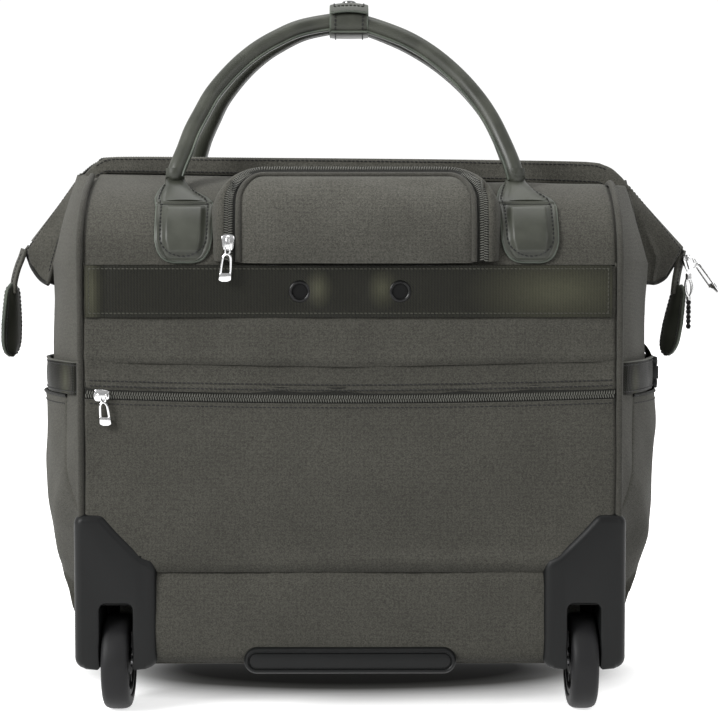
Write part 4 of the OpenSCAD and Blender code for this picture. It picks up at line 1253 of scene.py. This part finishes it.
for sy, name, points in ((-1, "back", BACK_LEFT + [(-2, 511.2)] + BACK_RIGHT),
        (1, "front", FRONT_LEFT + [(-2, 511.2)] + FRONT_RIGHT)):
    pts = spline(points, step=4.0)
    y = sy * (56.0 - clip01((pts[:, 1] - 397.0) / 113.0) ** 0.95 * 47.2)
    path = np.stack([pts[:, 0], y, pts[:, 1]], axis=1)
    grip = Piece(name + "_carry_handle", name + "_handle", "handle_" + name, "trim_leather")
    t = tangents(path)
    outward = np.array([0, sy, 0.0]) * np.ones((len(path), 1))
    grip.add(sweep(path, circ(6.6, 20), outward), LEATHER)
    n_up = unit(outward - t * (outward * t).sum(1, keepdims=True))
    side_dir = np.cross(t, n_up)
    inward = side_dir * (-1 if np.dot(side_dir[len(path) // 2], UP) > 0 else 1)
    # the closing seam along the inside of the curve, with its painted edges
    seam_at = unit(inward * 0.80 + n_up * 0.60)
    grip.add(sweep(path + seam_at * 6.7, rrect(1.5, 2.4, 0.5, 2), seam_at), LEATHER_RAW)
    ball = [(6.6 * sin(a), max(0.01, 6.6 * cos(a))) for a in span(0, pi / 2, 7)]
    for end, flip in ((0, -1), (-1, 1)):
        grip.add(lathe(ball, path[end], t[end] * flip, 20), LEATHER)
    grip.make()

# ---- patches, with the necks into the handles


def patch_point(x, z, lift, sy):
    """On the roof at height z, lifted off it."""
    z = np.asarray(z, float)
    slope = (roof_y(z + 1.0) - roof_y(z - 1.0)) / 2.0
    n = unit(np.stack([np.ones_like(z), -slope], axis=-1))
    off = lift + 2.4 * np.sin(np.pi * clip01((z - 327) / 67)) ** .8
    return np.stack(np.broadcast_arrays(x, sy * (roof_y(z) + n[..., 0] * off), z + n[..., 1] * off),
        axis=-1)


PATCH_TOP = 383.0


def patch_half(z):
    """Half width: round foot, straight sides, then the shoulders run in to the neck."""
    return np.interp(z, [329.0, 330.0, 332.5, 337.0, 343.5, 369.5, 372.5, 378.0, 383.0],
        [6.8, 11.2, 15.2, 18.1, 20.0, 20.4, 19.0, 13.2, 8.2])


def patch_lift(across, z):
    """Height of the leather over the roof, across mm from the patch's middle."""
    half = patch_half(z)
    edge_in = np.minimum(half - np.abs(across), (z - 328.6) * 1.1)
    pillow = smooth(4.6, 8.6, edge_in) * smooth(0.6, 4.6, 368.0 - z)
    lift = 1.6 + 3.0 * pillow - 0.7 * bell(edge_in - 3.4, 0.9) + 0.7 * smooth(0, 1.4, edge_in)
    round_up = np.sqrt(clip01(1 - (across / half) ** 2))
    return lift + 3.4 * smooth(369.5, PATCH_TOP, z) * round_up - 1.1 * bell(z - 368.3, 0.8)


for sy, name in ((-1, "back"), (1, "front")):
    pad = Piece(name + "_handle_patches", "handle_patches" if sy < 0 else "", slot="trim_leather")
    for cx, turn, foot in ((-119.9, 0.0, -128.9), (129.6, -0.035, 122.3)) if sy < 0 else ((-119.6, 0.0,
            -126.9), (132.0, 0.0, 131.2)):
        def middle(z):
            return cx + turn * (z - 350) + (foot - cx) * smooth(366, PATCH_TOP, z)

        def on_patch(across, z, over=0.0):
            across, z = np.asarray(across, float), np.asarray(z, float)
            return patch_point(middle(z) + across, z, patch_lift(across, z) + over, sy)

        z_of = np.unique(np.concatenate([span(329, PATCH_TOP, 48), span(366, 371, 8)]))
        Uu, Zz = np.meshgrid(span(-1, 1, 41), z_of)
        P = on_patch(Uu * patch_half(Zz), Zz)
        pad.add(slab(P, 2.2, (0, sy, 0.8)), LEATHER)
        border = np.vstack([P[::-1, 0], P[0, 1:-1], P[:, -1]]) - (0, sy * 0.7, 0.5)
        pad.add(tube(spline(border, step=2.5), 0.9, 6), LEATHER_RAW)
        loop = [(-16.8, z) for z in span(371, 350, 12)]
        loop += [(sin(a) * 16.6, 346.2 - cos(a) * 13.6) for a in span(-1.45, 1.45, 24)]
        loop = np.array(loop + [(16.8, z) for z in span(350, 371, 12)])
        pad.sew(spline(on_patch(loop[:, 0], loop[:, 1]), step=2.0), (0, sy, 0.5), 3.4, 2.5, 0.42, 0.2)
        for side in (-1, 1):
            zz = span(371, 381, 8)
            arm = on_patch(side * (patch_half(zz) - 2.6), zz)
            pad.sew(arm, (0, sy, 0.6), 3.4, 2.5, 0.42, 0.15)
        pad.add(tube(on_patch(span(-17.5, 17.5, 20), np.full(20, 368.3), 0.1), 0.32, 6), THREAD)
        # neck: rises out of the shoulders and rounds up into the handle's foot
        neck_path = spline([patch_point(np.array(foot + (cx - foot) * (383.0 - z) / 14), np.array(z),
            np.array(h), sy) for z, h in ((370.2, 0.8), (374.5, 1.4), (379.0, 2.6), (383.5, 4.8))]
            + [(foot, sy * 56.4, 391.0), (foot * 0.999, sy * 56.0, 398.0)], n=28)
        rings = []
        for q, c in zip(1 - span(0, 1, 28), neck_path):
            face = unit(np.array([0, sy, 0.9 * q]))
            rings.append([c + np.array([1.0, 0, 0]) * (6.9 + 10.0 * q ** 2.4) * cos(a) + face
                * (6.65 - 4.0 * q ** 1.1) * sin(a) for a in span(0, TAU, 28, endpoint=False)])
        pad.add(capped(rings), LEATHER)
    pad.make(blend=BACK_FOLD if sy < 0 else FRONT_FOLD)

# ---- handle wrap

wrap = Piece("handle_wrap_leather", "handle_wrap", body="handle_back", slot="trim_leather")
WX0, WX1 = -14.6, 13.2


def wrap_ring(x, grow):
    """Closed outline in YZ round both tubes; grow is its offset."""
    return np.array([(x, (16.6 + grow) * np.sign(cos(a)) * abs(cos(a)) ** 0.62, 510.6 - 0.0009 * x * x
        + (10.2 + grow) * np.sign(sin(a)) * abs(sin(a)) ** 0.78) for a in span(0, TAU, 56, endpoint=False)])


v, f = grid(np.array([wrap_ring(x, g) for x, g in zip(span(WX0, WX1, 22), 0.9
    * np.sin(span(0, pi, 22)) ** 0.5)]), closed_u=True)
vi, fi = grid(np.array([wrap_ring(x, -1.8) for x in span(WX0, WX1, 22)]), closed_u=True)
n, last = len(v), len(v) - 56
f += [tuple(i + n for i in reversed(q)) for q in fi]
for i, j in [(i, (i + 1) % 56) for i in range(56)]:
    f += [(i, i + n, j + n, j), (last + j, last + j + n, last + i + n, last + i)]
wrap.add((np.vstack([v, vi]), f), LEATHER)
for x, inset in ((WX0, 3.6), (WX1, -3.6)):
    row = wrap_ring(x + inset, 1.0)
    wrap.sew(row, unit((row - (0, 0, 510.6)) * (0, 1, 1)), 3.1, 2.3, 0.38, 0.0)
    wrap.add(tube(wrap_ring(x, -0.6), 0.85, 6, closed=True), LEATHER_RAW)
# the under layer's painted edge that shows as a light line low on the face
wrap.add(tube([(x, -16.2, 502.6) for x in span(WX0 + 0.4, WX1 - 0.4, 20)], 0.75, 6), LEATHER_RAW)
wrap.make()

snap = Piece("wrap_snap_tab", "wrap_tab", body="snap_tab", slot="trim_leather")
Uu, Vv = np.meshgrid(span(-1, 1, 22), span(0, 1, 20))
hw = 13.9 * np.minimum(1.0, np.sqrt(np.clip(1 - clip01((0.12 - Vv) / 0.12) ** 2, 0.2, 1)))
P = np.dstack([-0.7 + Uu * hw, 16.0 - Vv * 35.0, 522.8 + 2.2 * np.cos(Uu * 1.25) - 0.5 * Vv + 1.2
    * np.sin(Vv * pi) - 6.0 * Vv ** 8])
snap.add(slab(P, 2.0, UP), LEATHER)
border = np.vstack([P[:, 0], P[-1, 1:-1], P[::-1, -1]]) - (0, 0, 0.9)
snap.add(tube(spline(border, step=2.5), 0.8, 6), LEATHER_RAW)
inner = np.vstack([P[1:-2, 2], P[-3, 3:-3], P[-3:0:-1, -3]])
snap.sew(inner, UP, 3.0, 2.3, 0.36, 0.12)
snap.add(lathe([(-2.5, 0.01), (-2.5, 4.6), (0.2, 5.4), (1.3, 5.0), (2.0, 3.6), (2.3, 1.6), (2.35, 0.01)],
    (-0.7, 2.0, 525.9), UP, 28), SNAP)
snap.make()

# ---- wheel housings and wheels


def housing(s):
    """A moulded corner: outline in XZ with the wheel's slot, swept back to the slanted front edge."""
    out = []

    def arc(cx, cz, r, a0, a1, n):
        return [(cx + r * cos(radians(a)), cz + r * sin(radians(a))) for a in span(a0, a1, n)]

    out += arc(191.5, 42.5, 8.5, -90, 0, 7)
    out += [(200, z) for z in (56, 70, 86, 103, 120, 132)]
    out += arc(192.4, 139.7, 7.6, 0, 84, 7)
    out += [(188, 147.4)] + arc(182.5, 139.0, 8.4, 90, 137, 7)
    out += [(168, 135.5), (157.5, 125), (150, 117.6)]
    out += arc(152.0, 106.5, 12.0, 135, 180, 5)
    out += [(140, 88), (140, 70), (140, 56)] + arc(148.5, 42.5, 8.5, 180, 270, 7)
    n_outer = len(out)
    out += [(156.0, 34), (157.5, 35.2), (157.5, 50), (157.5, 66)] + arc(162.0, 77.5, 4.5, 180, 90, 5)
    out += arc(177.0, 77.5, 4.5, 90, 0, 5) + [(181.5, 66), (181.5, 50), (181.5, 35.2), (183.0, 34)]
    pts = np.array(out)
    w = np.ones(len(pts))
    w[n_outer:] = 0.28
    w[[n_outer, n_outer + 1, -2, -1]] = 0.05
    w[n_outer - 1] = w[0] = 0.55
    t = tangents(pts, closed=True)
    nor = np.stack([-t[:, 1], t[:, 0]], axis=1)
    rings = []
    radius = 6.6
    for a in span(0, pi / 2, 7):
        q = pts + nor * (radius * w * (1 - sin(a)))[:, None]
        y = -101.0 + radius * w * (1 - cos(a))
        rings.append(np.stack([s * q[:, 0], y, q[:, 1]], axis=1))
    front = np.interp(pts[:, 1], [34, 70, 120, 150], [-25, -25, -62, -88])
    for k in (0.25, 0.5, 0.75, 1.0):
        y = (-95.5) * (1 - k) + np.maximum(front, -95.0) * k
        rings.append(np.stack([s * pts[:, 0], y, pts[:, 1]], axis=1))
    rings.append(np.stack([s * (pts[:, 0] + nor[:, 0] * 1.6), rings[-1][:, 1] + 0.6, pts[:, 1] + nor[:, 1]
        * 1.6], axis=1))
    return capped(rings)


for s, name in ((-1, "left"), (1, "right")):
    shell = Piece(name + "_housing", name + "_wheel_housing", slot="black_plastic")
    shell.add(housing(s), PLASTIC)
    # the well's lining in the darker copy of the plastic: painted shade in the wheel's slot
    well = spline([(-99, 82.6), (-85, 82.6), (-70, 80), (-53, 71.5), (-40.5, 58), (-34.5, 42), (-34.0, 35)],
        step=3.0)
    P = np.array([[(s * x, y, z) for x in span(156.5, 182.5, 6)] for y, z in well])
    shell.add(slab(P, 1.6, (0, 0.4, 1)), PLASTIC_SHADED)
    shell.make(sharp=32)
    at = (s * WHEEL_X, AXLE_Y, WHEEL_R)
    tyre = Piece(name + "_tyre_rubber", name + "_tyre", body=name + "_wheel", slot="wheel_rubber")
    prof = [(-9.9 * copysign(abs(cos(a)) ** 0.62, cos(a)), WHEEL_R - 6.2 + 6.2 * abs(sin(a)) ** 0.62)
        for a in span(0, pi, 15)]
    prof += [(9.9, 26.6), (8.4, 25.4), (7.4, 25.2), (-7.4, 25.2), (-8.4, 25.4), (-9.9, 26.6)]
    prof.append(prof[0])
    tyre.add(lathe(prof, at, RIGHT, 96), RUBBER)
    tyre.make(sharp=50)
    hub = Piece(name + "_hub_disc", name + "_hub", body=name + "_wheel", slot="hub_plastic")
    disc = [(-7.6, 4.4), (-9.2, 5.0), (-9.2, 9.0), (-8.4, 10.0), (-4.6, 10.6), (-4.6, 20.0), (-8.2, 20.8),
        (-9.0, 21.6), (-9.0, 24.4), (-8.2, 25.2), (8.2, 25.2), (9.0, 24.4), (9.0, 21.6), (8.2, 20.8),
        (4.6, 20.0), (4.6, 10.6), (8.4, 10.0), (9.2, 9.0), (9.2, 5.0), (7.6, 4.4), (-7.6, 4.4)]
    hub.add(lathe(disc, at, RIGHT, 72), HUB)
    for a in (TAU * k / 6 for k in range(6)):
        rib = prism([(-1.4, 9.6), (1.4, 9.6), (1.4, 21.2), (-1.4, 21.2)], -8.0, 8.0, 0.4, 1)
        hub.add(put(rib, at, (0, -sin(a), cos(a)), (0, cos(a), sin(a)), RIGHT), HUB)
    hub.make(sharp=40)

skid = Piece("base_skid_bar", "skid_bar", slot="black_plastic")
rings = []
for y, grow in ((-95.0, 0.0), (-99.4, 0.0), (-100.9, -0.5), (-101.8, -1.4), (-102.0, -2.2), (-101.4, -3.0),
        (-100.2, -3.4), (-100.2, -3.9), (-101.2, -4.4), (-101.6, -5.4)):
    r = 9.5 + grow
    rings.append([(cx + r * cos(radians(a)), y, 40.5 + r * sin(radians(a))) for cx,
        a0 in ((67.5, -90), (-67.5, 90)) for a in span(a0, a0 + 180, 15)])
skid.add(capped(rings), PLASTIC)
skid.make(sharp=30)

feet = Piece("front_feet_studs", "front_feet", slot="black_plastic")
FOOT = [(36.5, 0.01), (36.5, 14.0), (34.0, 14.5), (31.0, 12.5), (24.0, 10.8), (4.0, 9.8), (1.2, 9.4),
    (0.0, 8.2), (0.0, 0.01)]
for x in (-187, 187):
    feet.add(lathe(FOOT, (x, 70, 0), UP, 40), PLASTIC)
feet.make(sharp=35)

# ---- front pocket


def front_pocket_y(x, z):
    u, h = clip01(np.abs(x) / 150), clip01((z - 90) / 195)
    belly = (1 - u ** 4) ** 0.6 * clip01(np.sin(np.pi * (0.06 + 0.94 * h))) ** 0.45
    return HD + 1.6 + 10.2 * belly + ripple(x, z, 60, 141) * 1.0 * belly


fpk = Piece("front_pocket_cloth", "front_pocket")
X, Z = np.meshgrid(span(-150, 150, 100), span(90, 272, 64))
Y = front_pocket_y(X, Z)
fpk.wall(X, Y, Z, 1.4, FRONT)
X, Z = np.meshgrid(span(-150, 150, 100), span(276.5, 286, 6))
fpk.wall(X, HD + 3.0 + 4.0 * (1 - (np.abs(X) / 150) ** 4) - 0.2 * (Z - 276), Z, 1.4, FRONT)
line = np.array([(x, HD + 2.2 + 4.4 * (1 - (abs(x) / 150) ** 4), 274.2) for x in span(-148, 148, 110)])
fpk.add(sweep(line, rrect(12, 0.8, 0.3, 1), FRONT), TAPE)
fpk.add(teeth(line + (0, 0.9, 0), FRONT, 1.8, 2.7, 0.62), COIL)
border = [(-150, 90), (-150, 284), (150, 284), (150, 90)]
loop = polyline([(x, HD + 2.2, z) for x, z in border + border[:1]], 3.0)
fpk.add(tube(loop[:-1], 1.9, 8, closed=True), PIPING)
for zz in (268.0, 281.0):
    line = np.array([(x, float(front_pocket_y(x, zz)) if zz < 272 else HD + 2.4 + 4.0
        * (1 - (abs(x) / 150) ** 4), zz) for x in span(-146, 146, 100)])
    fpk.sew(line, FRONT, 3.2, 2.4, 0.33, 0.2)
fpk.make()

# ---- inside

sleeve = Piece("laptop_sleeve_pad", "laptop_sleeve", slot="lining_cloth")
lo, hi = [np.array(c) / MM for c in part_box("laptop_sleeve")]
for y, z_top in ((lo[1] + 2.0, hi[2]), (hi[1] - 2.0, hi[2] - 12)):
    X, Z = np.meshgrid(span(lo[0] + 1, hi[0] - 1, 60), span(lo[2] + 1, z_top - 1, 50))
    side_y = np.sign(y - (lo[1] + hi[1]) / 2)
    quilt = 0.8 * np.abs(np.sin(X / 40 * pi) * np.sin(Z / 40 * pi)) ** 0.5
    sleeve.wall(X, y + side_y * (0.2 + quilt), Z, 3.0, (0, side_y, 0), mat=CLOTH_IN)
line = np.array([(x, hi[1] - 2.4, hi[2] - 12) for x in span(lo[0] + 1, hi[0] - 1, 60)])
sleeve.add(tube(line, 2.2, 8), TAPE)
sleeve.make()

for node, mat in (("base_board", BOARD), ("lining_board", CLOTH_IN), ("trolley_foot", PLASTIC),
        ("trolley_outer_tubes", ALU), ("trolley_top_bracket", PLASTIC), ("trolley_mid_tubes", ALU),
        ("trolley_inner_tubes", ALU), ("trolley_grip", PLASTIC), ("trolley_button", HUB),
        ("wheel_axles", STEEL)):
    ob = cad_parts[node]
    ob.data.materials.clear()
    ob.data.materials.append(mat)
